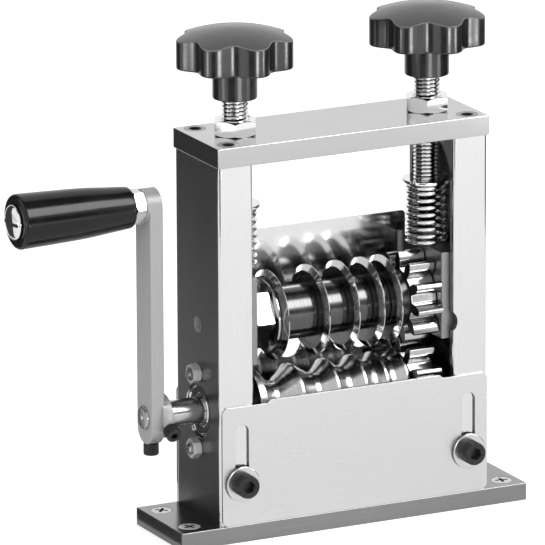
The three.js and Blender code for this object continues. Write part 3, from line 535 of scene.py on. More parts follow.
def make_floor():
    corners = rectangle(-FLOOR_REACH, FLOOR_REACH, -FLOOR_REACH, FLOOR_REACH)
    floor, tree = make_sheet("floor", [(x, y, 0) for x, y in corners])
    path = tree.nodes.new("ShaderNodeLightPath")
    level = output(tree, "ShaderNodeMapRange", {
        "To Min": FLOOR_SHEEN, "To Max": FLOOR_GLOW, "Value": path.outputs["Is Camera Ray"],
    })
    shown = output(tree, "ShaderNodeMath", {0: seen_ray(tree, path), 1: level}, operation="MULTIPLY")
    diffuse = output(tree, "ShaderNodeBsdfDiffuse", {"Color": FLOOR_TONE})
    glow = output(tree, "ShaderNodeEmission", {"Strength": shown})
    show(tree, output(tree, "ShaderNodeAddShader", {0: diffuse, 1: glow}))


def make_lamp(name, place, target, power):
    """A square lamp that shines from a place at a target."""
    lamp = link(name, set_all(bpy.data.lights.new(name, "AREA"), {
        "shape": "RECTANGLE", "size": LAMP_SIZE, "size_y": LAMP_SIZE, "energy": power,
    }))
    turn = (Vector(place) - Vector(target)).to_track_quat("Z", "Y")
    lamp.matrix_world = Matrix.Translation(place) @ turn.to_matrix().to_4x4()
    return lamp


def make_card(name, corners, tone):
    """A dark or a bright card that only metal and gloss see."""
    flag, tree = make_sheet(name, corners)
    show(tree, output(tree, "ShaderNodeEmission", {"Color": WHITE, "Strength": tone}))
    unseen = ("visible_camera", "visible_diffuse", "visible_shadow", "visible_transmission")
    set_all(flag, dict.fromkeys(unseen, False))


def make_screen(name, direction, spread, distance, low, high, tone):
    """An upright card that faces the machine: its direction from the middle, in degrees from +X,
    how many degrees it fills to each side, and how far off, how low and how high it stands."""
    first, last = (polar(distance, radians(direction + way * spread)) for way in (-1, 1))
    make_card(name, [(*first, low), (*last, low), (*last, high), (*first, high)], tone)


make_world()
make_floor()
make_lamp("key", (1.1, -1.5, 1.7), (0, 0, 0.08), 34)
make_card("left_wall", [(-0.24, y, z) for y, z in rectangle(0.1, 0.9, 0, 0.7)], 0.05)
left_floor = ((-0.088, -0.03), (-0.088, 0.08), (-0.24, 0.42), (-0.24, 0.3))
make_card("left_floor", [(x, y, 0.001) for x, y in left_floor], 0.08)
# A soft light from the left that metal and gloss don't mirror
make_lamp("left_fill", (-1.7, -0.7, 0.8), (0, 0, 0.1), 22).visible_glossy = False
make_screen("front_strip", 264, 9, 0.55, STEM_CARD_LOW, CARD_HIGH, 13)
make_screen("middle_strip", 283, 10, 0.56, WALL_CARD_LOW, CARD_HIGH, 2.2)
make_screen("right_strip", 310, 6, 0.55, WALL_CARD_LOW, CARD_HIGH, 13)
make_screen("left_strip", 183, 6, 0.55, WALL_CARD_LOW, CARD_HIGH, 9)
make_screen("front_shade", 280, 19, 0.9, 0.14, 0.42, 0.08)
make_card("ceiling_shade", [(x, y, 1.2) for x, y in rectangle(-0.6, 0.6, -0.5, 0.25)], 0.08)
make_screen("front_left_shade", 224, 17, 0.6, 0.0, CARD_HIGH, 0.04)
make_screen("right_shade", 352, 28, 0.6, 0.0, CARD_HIGH, 0.06)
scene.view_settings.view_transform = "Standard"


# Every CAD node gets a finished material, also those that a finer piece stands for below

FINISHES = {
    "base_plate": base_steel,
    "top_beam": polished_flat,
    "left_column": polished_upright,
    "right_column": polished_upright,
    "guide_plate": mirror_sheet,
    "front_cover": satin_sheet,
}
BY_SLOT = {
    "polished_steel": polished_flat,
    "bright_steel": milled,
    "blade_steel": blade_turned,
    "chrome": plated,
    "screw_steel": zinc,
    "black_steel": gloss_black_steel,
    "black_oxide": black_oxide,
    "satin_aluminium": aluminium,
    "black_plastic": gloss_plastic,
}
node_slots = {row["node"]: row["material_slot"] for row in frame["record"]["subparts"]}
for name in nodes:
    paint(name, FINISHES.get(name) or BY_SLOT[node_slots[name]])


# Sizes in millimetres that several pieces share

BASE_HALF_LENGTH, BASE_HALF_DEPTH, BASE_TOP = 85.5, 23, 8
BEAM_HALF_LENGTH, BEAM_HALF_DEPTH = 66.5, 22.25
COLUMN_INNER, COLUMN_OUTER = 49.3, 66
COLUMN_TOP, BEAM_TOP = 170, 179
FRONT, BACK = -21.75, 21.75
POCKET_WALL = COLUMN_INNER + 12.2
POCKET_HALF = 18.2
SHAFT_RADIUS = 6
BEARING_RADIUS = 12
BEARING_SEAT = BEARING_RADIUS + 0.05
ADJUSTER_X = 47.2
SCREW_PITCH = 1.75
BLOCK_BOTTOM, BLOCK_TOP = 78.3, 117.8
DISC_BOTTOM, DISC_TOP = 146.5, 148
PAST = 1  # how far a cutting tool reaches beyond the faces that it cuts
SIDES = {"left": -1, "right": 1}
STUD_OFFSET = 17  # of a housing's studs, above and below the drive axis
COVER_SCREW_X, COVER_SCREW_Z = 56, 27
SHEET = 1.25
SHAFT_BORE = SHAFT_RADIUS + 0.05
EDGE = 0.1  # how far from their plane the faces of one wall are looked for


def corner_screws(kind, across, deep):
    """The names and places of four screws of a kind, one in each corner round the middle."""
    return {
        f"{kind}_screw_{row}_{side}": (x * across, y * deep)
        for side, x in SIDES.items() for row, y in (("front", -1), ("back", 1))
    }


BASE_SCREWS = corner_screws("base", 77.5, 14)
BEAM_SCREWS = corner_screws("beam", 58.65, 16.3)
FOOT_SCREWS = [(side * 57.65, row * 13) for side in (-1, 1) for row in (-1, 1)]


# Frame

def sunk_hole(centre, top, depth):
    """The tool for a countersunk hole."""
    return turned("sunk_hole", "z", [
        (0, top + PAST), (5.0, top + PAST), (5.0, top - 0.5), (2.75, top - 2.8), (2.75, top - depth),
        (0, top - depth),
    ], centre, 64)


def slab(name, half_length, half_depth, low, high):
    """A block in the middle of X and Y, its edges eased."""
    outline = rectangle(-half_length, half_length, -half_depth, half_depth)
    return bevelled(prism(name, "z", outline, low, high), 0.45, 3, 32)


def make_base():
    plate = slab("base_plate_body", BASE_HALF_LENGTH, BASE_HALF_DEPTH, 0, BASE_TOP)
    holes = [sunk_hole(place, BASE_TOP, 9) for place in BASE_SCREWS.values()]
    recesses = [rod("recess", "z", 5, -PAST, 5.5, place) for place in FOOT_SCREWS]
    dress(flattened(cut(plate, *holes, *recesses), 60), base_steel, "root", "polished_steel", "base_plate")
    for place in FOOT_SCREWS:
        make_foot_screw(place)


def make_foot_screw(place):
    """A cap screw up into a column's foot, sunk in the underside of the base."""
    head = turned("foot_screw", "z", [
        (0, 5.4), (4.1, 5.4), (4.4, 5.1), (4.4, 1.3), (4.0, 0.9), (0, 0.9),
    ], place, 48)
    cut(head, prism("socket", "z", hexagon(4, 30, place), 0, 3.4))
    dress(flattened(head, 60), black_oxide, "root", "black_oxide")


def make_column(side, name):
    outline = rounded(rectangle(side * COLUMN_INNER, side * COLUMN_OUTER, FRONT, BACK), 1.6, 6)
    column = prism(name + "_body", "z", outline, BASE_TOP, COLUMN_TOP)
    floor, corner, arch = 30, 6, 150
    half = POCKET_HALF
    pocket_outline = (
        arc(-half + corner, floor + corner, corner, 180, 270, 12)
        + arc(half - corner, floor + corner, corner, 270, 360, 12)
        + arc(0, arch, half, 0, 180, 48)
    )
    near, far = side * (COLUMN_INNER - PAST), side * POCKET_WALL
    inside, through = far - side * PAST, side * (COLUMN_OUTER + PAST)
    peep_radius = 3.5
    tools = [prism("pocket", "x", pocket_outline, near, far)]
    tools += [
        rod("side_hole", "x", radius, inside, through, (0, z), segments) for radius, z, segments in (
            (BEARING_RADIUS + 0.3, DRIVE_AXIS, 96), (peep_radius, BLADE_AXIS, 64),
            (2.8, DRIVE_AXIS + STUD_OFFSET, 40), (2.8, DRIVE_AXIS - STUD_OFFSET, 40),
        )
    ]
    tools += [
        rod("cover_screw_hole", "y", 3.2, FRONT - PAST, FRONT + 11,
            (side * COVER_SCREW_X, COVER_SCREW_Z), 48),
        rod("screw_relief", "z", 6.3, 150, COLUMN_TOP + PAST, (side * ADJUSTER_X, 0), 64),
    ]
    tools += [
        rod("beam_screw_hole", "z", 2.6, COLUMN_TOP - 12, COLUMN_TOP + PAST, place, 32)
        for place in BEAM_SCREWS.values() if place[0] * side > 0
    ]
    if side > 0:
        tools.append(rod(
            "notch", "y", 6, FRONT - PAST, -POCKET_HALF + PAST, (COLUMN_INNER + 1.9 - 6, 86.7), 64,
        ))
    cut(column, *tools)
    dress(bevelled(column, 0.22), polished_upright, "root", "polished_steel", name)
    # Painted shade on the column's outer face
    tone_faces(column, shaded_column_side, lambda at, normal: abs(at.x) > COLUMN_OUTER - 0.01)
    # Painted shade on the pocket's walls and the column's inner face
    tone_faces(column, pocket_shade_steel, lambda at, normal: (
        abs(at.x) < COLUMN_INNER + 0.01 or abs(at.x) < POCKET_WALL + EDGE
        and abs(at.y) < half + EDGE and floor - EDGE < at.z < arch + half + EDGE
    ))
    tone_faces(column, head_steel, lambda at, normal: (
        abs(at.x) > POCKET_WALL and hypot(at.y, at.z - BLADE_AXIS) < peep_radius + 0.05
    ))
    # Painted shade in the notch of the right column
    tone_faces(column, painted_shade_steel, lambda at, normal: (
        side > 0 and COLUMN_INNER + 0.05 < at.x < COLUMN_INNER + 2 and 80 < at.z < 93
        and abs(normal.y) < 0.9 and at.y < -half
    ))


def make_beam():
    beam = slab("top_beam_body", BEAM_HALF_LENGTH, BEAM_HALF_DEPTH, COLUMN_TOP, BEAM_TOP)
    tools = [
        rod("screw_hole", "z", 6.25, COLUMN_TOP - PAST, BEAM_TOP + PAST, (side * ADJUSTER_X, 0), 64)
        for side in (-1, 1)
    ]
    tools += [sunk_hole(place, BEAM_TOP, 10) for place in BEAM_SCREWS.values()]
    dress(flattened(cut(beam, *tools), 60), polished_flat, "root", "bright_steel", "top_beam")


def sunk_head(name, centre, top, depth):
    return turned(name, "z", [
        (0, top), (4.45, top), (4.7, top - 0.08), (4.8, top - 0.25), (2.6, top - 2.5), (2.5, top - 2.8),
        (2.5, top - depth), (0, top - depth),
    ], centre, 64, 30)


def make_flat_screws():
    for name, place in BEAM_SCREWS.items():
        screw = sunk_head(name + "_body", place, BEAM_TOP, 20)
        rim = turned("socket_rim", "z", [
            (0, BEAM_TOP + PAST), (3.9, BEAM_TOP + PAST), (2.6, BEAM_TOP - 0.3), (0, BEAM_TOP - 0.3),
        ], place, 48)
        cut(screw, rim, prism("socket", "z", hexagon(4.2, 12, place), BEAM_TOP - 2.3, BEAM_TOP + PAST))
        dress(flattened(screw), dark_screw, "root", "bright_steel", name)
        paint_recess_shade(screw, place, BEAM_TOP)
    for i, (name, place) in enumerate(BASE_SCREWS.items()):
        screw = sunk_head(name + "_body", place, BASE_TOP, 7.4)
        turn = 20 + 31 * i
        cross = [
            polar(reach, radians(turn + angle), place)
            for quarter in (0, 90, 180, 270)
            for reach, angle in ((3.2, quarter - 12), (3.2, quarter + 12), (1.05, quarter + 45))
        ]
        cut(screw, prism("cross", "z", cross, BASE_TOP + 0.2, BASE_TOP - 2.3, 0.45, place))
        dress(flattened(screw), head_steel, "root", "bright_steel", name)
        paint_recess_shade(screw, place, BASE_TOP)


# Painted shade: black in a screw's socket and on the faces round it
def paint_recess_shade(screw, place, top):
    tone_faces(screw, black_oxide, lambda at, normal: (
        top - 3.5 < at.z < top - 0.1 and hypot(at.x - place[0], at.y - place[1]) < 3.3
    ))


# Adjusters

def threaded(name, radius, pitch, start, end, centre):
    """A screw thread along Z: flanks between a narrow crest and a narrow root, wound as a helix."""
    steps, root = 48, radius - 0.6 * pitch
    shape = [(0.0, root), (0.12, root), (0.5, radius), (0.62, radius)]  # share of a turn, radius
    count, last = len(shape), (ceil((end - start) / pitch) + 2) * steps
    vertices, faces = [], []
    for i in range(last + 1):
        for share, reach in shape:
            z = min(max(start + pitch * (i / steps + share - 1), start), end)
            vertices.append((*polar(reach, 2 * pi * i / steps, centre), z))
    for i in range(last):
        for k in range(count):
            a, b = i * count + k, (i + 1) * count + k
            if k < count - 1:
                faces.append((a, b, b + 1, a + 1))
            elif i + steps < last:
                c, d = (i + steps) * count, (i + steps + 1) * count
                faces.append((a, b, d, c))
    return solid(name, vertices, faces, 25)


def hex_nut(name, axis, across, height, bore, turn, centre, start):
    """A hexagon nut whose corners a shallow cone rounds off at both ends."""
    corner = across / 2 / cos(radians(30))
    overhang = corner - across / 2
    end = start + height
    nut = prism(name, axis, hexagon(across, turn, centre), start, end)
    cone = turned("cone", axis, [
        (0, start - 0.01), (across / 2 - 0.2, start - 0.01), (corner + 0.1, start + overhang * 0.7),
        (corner + 0.1, end - overhang * 0.7), (across / 2 - 0.2, end + 0.01), (0, end + 0.01),
    ], centre, 96)
    cut(nut, cone, operation="INTERSECT")
    hole = turned("bore", axis, [
        (0, start - PAST), (bore / 2 + 0.9 + PAST, start - PAST), (bore / 2, start + 0.9),
        (bore / 2, end - 0.9), (bore / 2 + 0.9 + PAST, end + PAST), (0, end + PAST),
    ], centre, 64)
    return flattened(cut(nut, hole))


def coil(name, x, bottom, top, outside, wire, turns):
    """A compression spring: close turns at both ends, ground flat, and open ones between."""
    radius, steps, sides, ground = (outside - wire) / 2, 64, 14, 0.3
    rise = top - bottom - wire
    closed = wire * 1.04
    open_pitch = (rise - 2 * closed) / (turns - 2)
    last = turns * steps
    vertices, faces = [], []
    for i in range(last + 1):
        turn = i / steps
        climb = closed * min(turn, 1) + open_pitch * min(max(turn - 1, 0), turns - 2)
        climb += closed * max(turn - turns + 1, 0)
        for bend in circle(sides):
            reach, z = polar(wire / 2, bend, (radius, bottom + wire / 2 + climb))
            z = min(max(z, bottom + ground), top - ground)
            vertices.append((*polar(reach, 2 * pi * turn, (x, 0)), z))
    for i in range(last):
        faces += band(sides, i * sides)
    faces.append(tuple(range(sides)))
    faces.append(tuple(last * sides + k for k in range(sides)))
    return solid(name, vertices, faces, 70)


KNOB_BOTTOM, KNOB_WALL, KNOB_DOME = 209.4, 12.6, 5
KNOB_RADIUS, KNOB_LOBES, KNOB_LOBE_DEPTH, KNOB_TURN = 26, 7, 4.5, 12.7
STEM_BOTTOM, STEM_RADIUS = 195.2, 9.85


def knob_mesh(name, x):
    """A seven-lobed star: upright walls, a crisp rim that follows the low dome, a round stem."""
    steps = KNOB_LOBES * 28
    middle = KNOB_RADIUS - KNOB_LOBE_DEPTH * 0.5
    turn = radians(KNOB_TURN)

    def lobed(angle):
        return KNOB_RADIUS - KNOB_LOBE_DEPTH * (0.5 - 0.5 * cos(KNOB_LOBES * angle)) ** 1.2

    def crown(radius):
        return KNOB_BOTTOM + KNOB_WALL + KNOB_DOME * (1 - (radius / KNOB_RADIUS) ** 2)

    fillet, foot = 0.5, 0.7
    bends = [radians(30 * i) for i in range(4)]
    # How far in from the wall, and the height as a function of the radius
    walls = [(foot * (1 - sin(b)), lambda r, b=b: KNOB_BOTTOM + foot * (1 - cos(b))) for b in bends]
    walls += [
        (0, lambda r, s=s: KNOB_BOTTOM + foot + (KNOB_WALL - foot - fillet) * s)
        for s in (0.25, 0.5, 0.75)
    ]
    walls += [
        (fillet * (1 - cos(b)), lambda r, b=b: crown(r) - fillet * (1 - sin(b))) for b in bends
    ]
    # Shares of the radius, and how much of the lobes is left there
    crowns = [(0.93, 0.97), (0.84, 0.85), (0.72, 0.6), (0.58, 0.3), (0.42, 0.1), (0.25, 0), (0.1, 0)]
    rings = [[(lobed(a) - inset, a, height) for a in circle(steps)] for inset, height in walls]
    rings += [
        [(share * (middle + (lobed(a) - middle) * lobing), a, crown) for a in circle(steps)]
        for share, lobing in crowns
    ]
    points = [
        (*polar(radius, angle + turn, (x, 0)), height(radius))
        for ring in rings for radius, angle, height in ring
    ]
    points += [(x, 0, KNOB_BOTTOM), (x, 0, crown(0))]
    faces = [face for k in range(len(rings) - 1) for face in band(steps, k * steps)]
    top = (len(rings) - 1) * steps
    for i in range(steps):
        j = (i + 1) % steps
        faces += [(len(points) - 2, j, i), (len(points) - 1, top + i, top + j)]
    head = solid("head", points, faces, 40)
    low, high, r = STEM_BOTTOM, KNOB_BOTTOM, STEM_RADIUS
    stem = turned("stem", "z", [
        (6.4, low + 8), (6.4, low + 0.8), (7.2, low), (r - 0.6, low), (r - 0.18, low + 0.18),
        (r, low + 0.6), (r, high - 1.2), (r + 0.35, high - 0.4), (r + 1.2, high + 0.1), (r, high + 1),
        (6.4, high + 1),
    ], (x, 0), 96)
    return flattened(joined(name, head, stem), 40)


def make_adjusters():
    for side, way in SIDES.items():
        x = way * ADJUSTER_X
        centre, neck = (x, 0), DISC_TOP + 0.1
        knob = knob_mesh(f"{side}_star_knob", x)
        dress(knob, gloss_plastic, f"{side}_adjuster", "black_plastic", f"{side}_knob")
        # Painted highlight along the knob's rim
        tone_faces(knob, knob_rim_highlight, lambda at, normal: at.z > KNOB_BOTTOM + 5 and 0.1 < normal.z < 0.92)
        screw = joined(
            f"{side}_threaded_screw",
            threaded("thread", SHAFT_RADIUS, SCREW_PITCH, neck, STEM_BOTTOM + 18, centre),
            turned("pin", "z", [
                (0, 127.5), (3, 127.5), (4, 128.5), (4, neck), (5.4, neck), (5.4, 149), (0, 149),
            ], centre, 64),
        )
        # Painted shade in the thread's roots, darker towards the axis
        thread = thread_metal(f"{side}_thread", (x, 0, 0), SHAFT_RADIUS - 1.1, SHAFT_RADIUS - 0.75)
        dress(screw, thread, f"{side}_adjuster", "chrome", f"{side}_adjusting_screw")
        nut = hex_nut(f"{side}_hex_nut", "z", 18, 7, 12.2, 4, centre, BEAM_TOP)
        dress(nut, plated, f"{side}_lock", "chrome", f"{side}_lock_nut")
        disc = turned(f"{side}_disc", "z", [
            (4.3, DISC_BOTTOM), (10.7, DISC_BOTTOM), (10.9, DISC_BOTTOM + 0.08), (11, DISC_BOTTOM + 0.3),
            (11, DISC_TOP - 0.3), (10.9, DISC_TOP - 0.08), (10.7, DISC_TOP), (4.3, DISC_TOP),
        ], centre, 96)
        dress(flattened(disc), plated, f"{side}_press", "chrome", f"{side}_pressure_disc")
        spring = coil(f"{side}_coil", x, BLOCK_TOP, DISC_BOTTOM, 19, 1.9, 9)
        dress(spring, plated, "carriage", "chrome", f"{side}_spring")
        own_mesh(spring)


# Drive train and blades

ROLLER_START, ROLLER_END = -43, 31.6
GEAR_START, GEAR_END = 32.6, 45
BLADE_EDGES = [-30.8, -10.8, 4.0, 16.3, 25.2]
BLADE_RADIUS, BLADE_THICKNESS = 20, 1.8
ARM_OUTER, ARM_INNER = -92.2, -86


def make_drive_shaft():
    shaft = turned("drive_rod", "x", [
        (0, -93.4), (4.5, -93.4), (5.0, -93.2), (5.2, -92.8), (5.2, -85.7), (5.8, -85.7), (6, -85.5),
        (6, 64.6), (5.8, 65.1), (5.2, 65.4), (0, 65.4),
    ], DRIVE_LINE, 128, 30)
    centre_mark = turned("centre_mark", "x", [
        (0, -94), (1.5, -94), (1.2, -93.3), (0, -92.3),
    ], DRIVE_LINE, 48)
    dress(flattened(cut(shaft, centre_mark)), drive_turned, "drive", "chrome", "drive_shaft")


def make_bearing(name, axis, face, way, width, body, *replaced):
    """Two steel races with a black seal sunk between them on both faces."""
    back, ease = face - way * width, 0.25
    inner, outer = 7.7, 10.5  # where the seal meets the races
    for part, low, high in (("inner_race", SHAFT_BORE, inner), ("outer_race", outer, BEARING_RADIUS)):
        profile = []
        for first, second, along, out in ((low, high, face, way), (high, low, back, -way)):
            step = ease if second > first else -ease
            profile += [
                (first, along - out * ease), (first + step, along), (second - step, along),
                (second, along - out * ease),
            ]
        race = turned(f"{name}_{part}", "x", profile, axis, 96, 25)
        names = replaced if part == "outer_race" else ()
        dress(flattened(race), milled if width > 7 else plated, body, "bright_steel", *names)
    seal = turned(f"{name}_seal", "x", [
        (inner, face - way * 0.5), (8.2, face - way * 0.35), (10, face - way * 0.35),
        (outer, face - way * 0.5), (outer, back + way * 0.5), (inner, back + way * 0.5),
    ], axis, 96, 25)
    dress(seal, black_oxide, body, "black_oxide")


def make_housing(side, way):
    """The flanged cup that holds a drive bearing, with its two studs and their nuts."""
    outer = way * (POCKET_WALL - 0.05)
    inner = outer - way * 3.8
    boss_end = inner - way * 3
    ear, boss = 6, 15.5
    tangent = degrees(acos((boss - ear) / STUD_OFFSET))
    outline = (
        arc(0, DRIVE_AXIS + STUD_OFFSET, ear, 90 - tangent, 90 + tangent, 24)
        + arc(0, DRIVE_AXIS, boss, 90 + tangent, 270 - tangent, 24)
        + arc(0, DRIVE_AXIS - STUD_OFFSET, ear, 270 - tangent, 270 + tangent, 24)
        + arc(0, DRIVE_AXIS, boss, 270 + tangent, 450 - tangent, 24)
    )
    flange = prism(f"{side}_flange", "x", outline, inner, outer)
    boss_body = rod("boss", "x", boss, boss_end, inner + way, DRIVE_LINE, 96)
    seat = rod("seat", "x", BEARING_SEAT, way * 58.7, outer + way, DRIVE_LINE, 96)
    bore = rod("bore", "x", 10.4, boss_end - way, outer + way, DRIVE_LINE, 96)
    cut(flange, boss_body, operation="UNION")
    cut(flange, seat, bore)
    dress(bevelled(flange, 0.3), black_oxide, "root", "black_oxide", f"{side}_bearing_housing")
    for level, up in (("upper", 1), ("lower", -1)):
        z = DRIVE_AXIS + up * STUD_OFFSET
        stud_end = way * 71.4
        stud = turned(f"{side}_stud_{level}", "x", [
            (0, inner + way), (2.45, inner + way), (2.45, stud_end - way * 0.5), (1.9, stud_end),
            (0, stud_end),
        ], (0, z), 48, 30)
        dress(stud, zinc, "root", "screw_steel")
        start = 66.05 if way > 0 else -70.05
        nut = hex_nut(f"{side}_stud_nut_{level}", "x", 8, 4, 5.1, 90 if up > 0 else 78, (0, z), start)
        dress(nut, head_steel, "root", "chrome", f"{side}_housing_nut_{level}")


def roller_profile():
    land, flange, bore = 15, 16.5, 6.1
    depths = [6.5, 5, 4, 3.2, 2.8]
    between = [(a + b) / 2 for a, b in zip(BLADE_EDGES, BLADE_EDGES[1:])]
    flange_end = ROLLER_START + 3
    outline = [(bore, ROLLER_START), (flange, ROLLER_START), (flange, flange_end), (land, flange_end)]
    radii = [0, 0.5, 0.3, 0.2]
    for i, (edge, depth) in enumerate(zip(BLADE_EDGES, depths)):
        left = flange_end + 1.2 if i == 0 else between[i - 1] + 0.6
        right = ROLLER_END - 1.2 if i == len(between) else between[i] - 0.6
        outline += [
            (land, left), (land - depth, edge - 1.2), (land - depth, edge + 1.2), (land, right),
        ]
        radii += [0.35, 1.0, 1.0, 0.35]
    outline += [(land, ROLLER_END), (bore, ROLLER_END)]
    return rounded(outline, radii + [0.4, 0], 4)


def gear_outline(centre):
    """Eleven involute teeth, one of them pointing straight up, with rounded tips and roots."""
    teeth, module = 11, 3.2
    pitch, addendum, dedendum = teeth * module / 2, 3.2, 4
    base = pitch * cos(radians(20))
    tip, root = pitch + addendum, pitch - dedendum

    def involute(radius):
        angle = acos(min(1, base / radius))
        return tan(angle) - angle

    half_at_pitch = pi / teeth * 0.46
    flank = [base + (tip - base) * i / 8 for i in range(9)]
    corners, radii = [], []
    for tooth in range(teeth):
        middle = pi / 2 + tooth * 2 * pi / teeth
        for way, order in ((-1, flank), (1, flank[::-1])):
            points = [(r, middle + way * (half_at_pitch + involute(pitch) - involute(r))) for r in order]
            foot = (root, points[0 if way < 0 else -1][1])
            points = [foot] + points if way < 0 else points + [foot]
            for r, a in points:
                corners.append(polar(r, a, (0, centre)))
                radii.append(0.5 if r == root else 0.35 if r == tip else 0)
    return rounded(corners, radii, 3)


def make_gear(name, centre, hub_start, body, node):
    teeth = prism(name, "x", gear_outline(centre), GEAR_START, GEAR_END)
    hub = rod("hub", "x", 12, hub_start, GEAR_START + PAST, (0, centre), 96)
    bore = rod("bore", "x", SHAFT_BORE, hub_start - PAST, GEAR_END + PAST, (0, centre), 96)
    cut(teeth, hub, operation="UNION")
    cut(teeth, bore)
    dress(bevelled(teeth, 0.3, 2, 42), gear_steel, body, "bright_steel", node)
    # Painted shade on the gear's end faces
    tone_faces(teeth, painted_shade_steel, lambda at, normal: at.x < GEAR_START + 0.05 or at.x > GEAR_END - 0.05)


def make_blades():
    centre = BLADE_LINE
    bevel_start = 17.4
    for i, edge in enumerate(BLADE_EDGES, 1):
        back = edge - BLADE_THICKNESS
        blade = turned(f"disc_blade_{i}", "x", [
            (SHAFT_BORE, back), (12.5, back), (12.5, back + 0.08), (13.2, back + 0.08), (13.2, back),
            (bevel_start, back), (BLADE_RADIUS - 0.06, edge - 0.25), (BLADE_RADIUS, edge - 0.15),
            (BLADE_RADIUS - 0.05, edge), (SHAFT_BORE, edge),
        ], centre, 160, 8)
        dress(blade, blade_turned, "blades", "blade_steel", f"blade_{i}")
        # Painted dark reflection on the blade's flat face inside the bevel
        tone_faces(blade, blade_face_dark_reflection, lambda at, normal: (
            hypot(at.y, at.z - BLADE_AXIS) < bevel_start - EDGE
        ))
    for i, (last, edge) in enumerate(zip(BLADE_EDGES, BLADE_EDGES[1:]), 1):
        start, end = last + 0.05, edge - BLADE_THICKNESS - 0.05
        groove_end = end - 1.6
        groove_start = groove_end - 0.8
        spacer = turned(f"sleeve_{i}", "x", rounded([
            (SHAFT_BORE, start), (12, start), (12, groove_start), (11.2, groove_start),
            (11.2, groove_end), (12, groove_end), (12, end), (SHAFT_BORE, end),
        ], [0, 0.3, 0.15, 0.1, 0.1, 0.15, 0.3, 0], 3), centre, 128, 30)
        dress(flattened(spacer), gloss_black_steel, "blades", "black_steel", f"blade_spacer_{i}")
    profile = rounded(rectangle(6.1, 16, -34.05, -32.65), [0, 0.3, 0.3, 0], 3)
    washer = turned("stack_washer", "x", profile, centre, 128, 30)
    dress(flattened(washer), gear_steel, "blades", "bright_steel", "blade_washer")
    nut = hex_nut("stack_nut", "x", 25, 10.4, 12.2, 0, centre, -44.5)
    dress(nut, plated, "blades", "chrome", "blade_nut")
    shaft = turned("blade_rod", "x", [
        (0, -59.5), (5.2, -59.5), (6, -58.7), (6, 58.7), (5.2, 59.5), (0, 59.5),
    ], centre, 96, 30)
    dress(shaft, blade_turned, "blades", "bright_steel", "blade_shaft")


def make_block(side, way):
    inner, outer = way * 45.3, way * 57.1
    block = prism(
        f"{side}_slide_block", "z", rounded(rectangle(inner, outer, -17.8, 17.8), 0.8, 4),
        BLOCK_BOTTOM, BLOCK_TOP,
    )
    seat = rod("seat", "x", BEARING_SEAT, inner - way, way * 53.6, BLADE_LINE, 96)
    bore = rod("bore", "x", 8, inner - way, outer + way, BLADE_LINE, 96)
    cut(block, seat, bore)
    # Painted shade: the block in the darker steel of the pocket that it sits in
    dress(bevelled(block, 0.35), pocket_shade_steel, "carriage", "bright_steel", f"{side}_bearing_block")
    make_bearing(f"{side}_upper_bearing", BLADE_LINE, way * 45.6, -way, 7.7, "carriage",
                 f"{side}_blade_bearing")


def make_drive_train():
    make_drive_shaft()
    roller = turned("grooved_roller", "x", roller_profile(), DRIVE_LINE, 160, 35)
    dress(flattened(roller, 35), drive_turned, "drive", "bright_steel", "feed_roller")
    make_gear("lower_gear", DRIVE_AXIS, ROLLER_END + 0.05, "drive", "drive_gear")
    make_gear("upper_gear", BLADE_AXIS, BLADE_EDGES[-1] + 0.05, "blades", "blade_gear")
    make_blades()
    for side, way in SIDES.items():
        make_block(side, way)
        make_housing(side, way)
        make_bearing(f"{side}_lower_bearing", DRIVE_LINE, way * 65, way, 6, "root",
                     f"{side}_drive_bearing")


# Covers

SHEET_FRONT = FRONT - SHEET
COVER_HALF, COVER_BOTTOM, COVER_SHOULDER = 65.5, 8, 62


def make_cover():
    half, rise, lift, r = COVER_HALF, 42, 1.4, 3
    low, high = COVER_SHOULDER, COVER_SHOULDER + lift
    outline = (
        arc(-half + r, COVER_BOTTOM + r, r, 180, 270, 10)
        + arc(half - r, COVER_BOTTOM + r, r, 270, 360, 10)
        + arc(half - r, COVER_SHOULDER - r, r, 0, 90, 10)
        + rounded([
            (rise + 2 * lift, low), (rise + lift, low), (rise, high),
            (-rise, high), (-rise - lift, low), (-rise - 2 * lift, low),
        ], 1.2, 4, closed=False)
        + arc(-half + r, COVER_SHOULDER - r, r, 90, 180, 10)
    )
    cover = prism("cover_sheet", "y", outline, SHEET_FRONT, FRONT)
    slot_half, slot_low, slot_high = 3.3, 22.5, 50.4
    slots = [
        prism("slot", "y",
              arc(side * COVER_SCREW_X, slot_low, slot_half, 180, 360, 24)
              + arc(side * COVER_SCREW_X, slot_high, slot_half, 0, 180, 24),
              SHEET_FRONT - PAST, FRONT + PAST)
        for side in (-1, 1)
    ]
    cut(cover, *slots)
    dress(bevelled(cover, 0.16), satin_sheet, "cover", "polished_steel", "front_cover")
    # Painted shade on the walls of the cover's slots
    tone_faces(cover, painted_shade_steel, lambda at, normal: (
        abs(abs(at.x) - COVER_SCREW_X) < slot_half + EDGE and abs(normal.y) < 0.5
        and slot_low - slot_half - EDGE < at.z < slot_high + slot_half + EDGE
    ))


def knurled(name, axis, radius, start, end, centre, teeth=52, depth=0.35):
    """A round head with upright knurls between two chamfers: start is its face, end its seat."""
    way = 1 if end > start else -1
    count = teeth * 4
    rings = [
        (0.91 * radius, start, 0), (0.96 * radius, start + way * 0.12 * radius * 0.5, 0.2),
        (radius, start + way * 0.12 * radius, 1), (radius, end - way * 0.08 * radius, 1),
        (0.95 * radius, end, 0),
    ]
    vertices = []
    for reach, along, ribbed in rings:
        for angle in circle(count):
            r = reach - ribbed * depth * (0.5 - 0.5 * cos(teeth * angle))
            vertices.append(PLACE[axis](*polar(r, angle, centre), along))
    top = (len(rings) - 1) * count
    faces = [face for first in range(0, top, count) for face in band(count, first)]
    faces += [tuple(range(count)), tuple(range(top, top + count))]
    return solid(name, vertices, faces, 30)


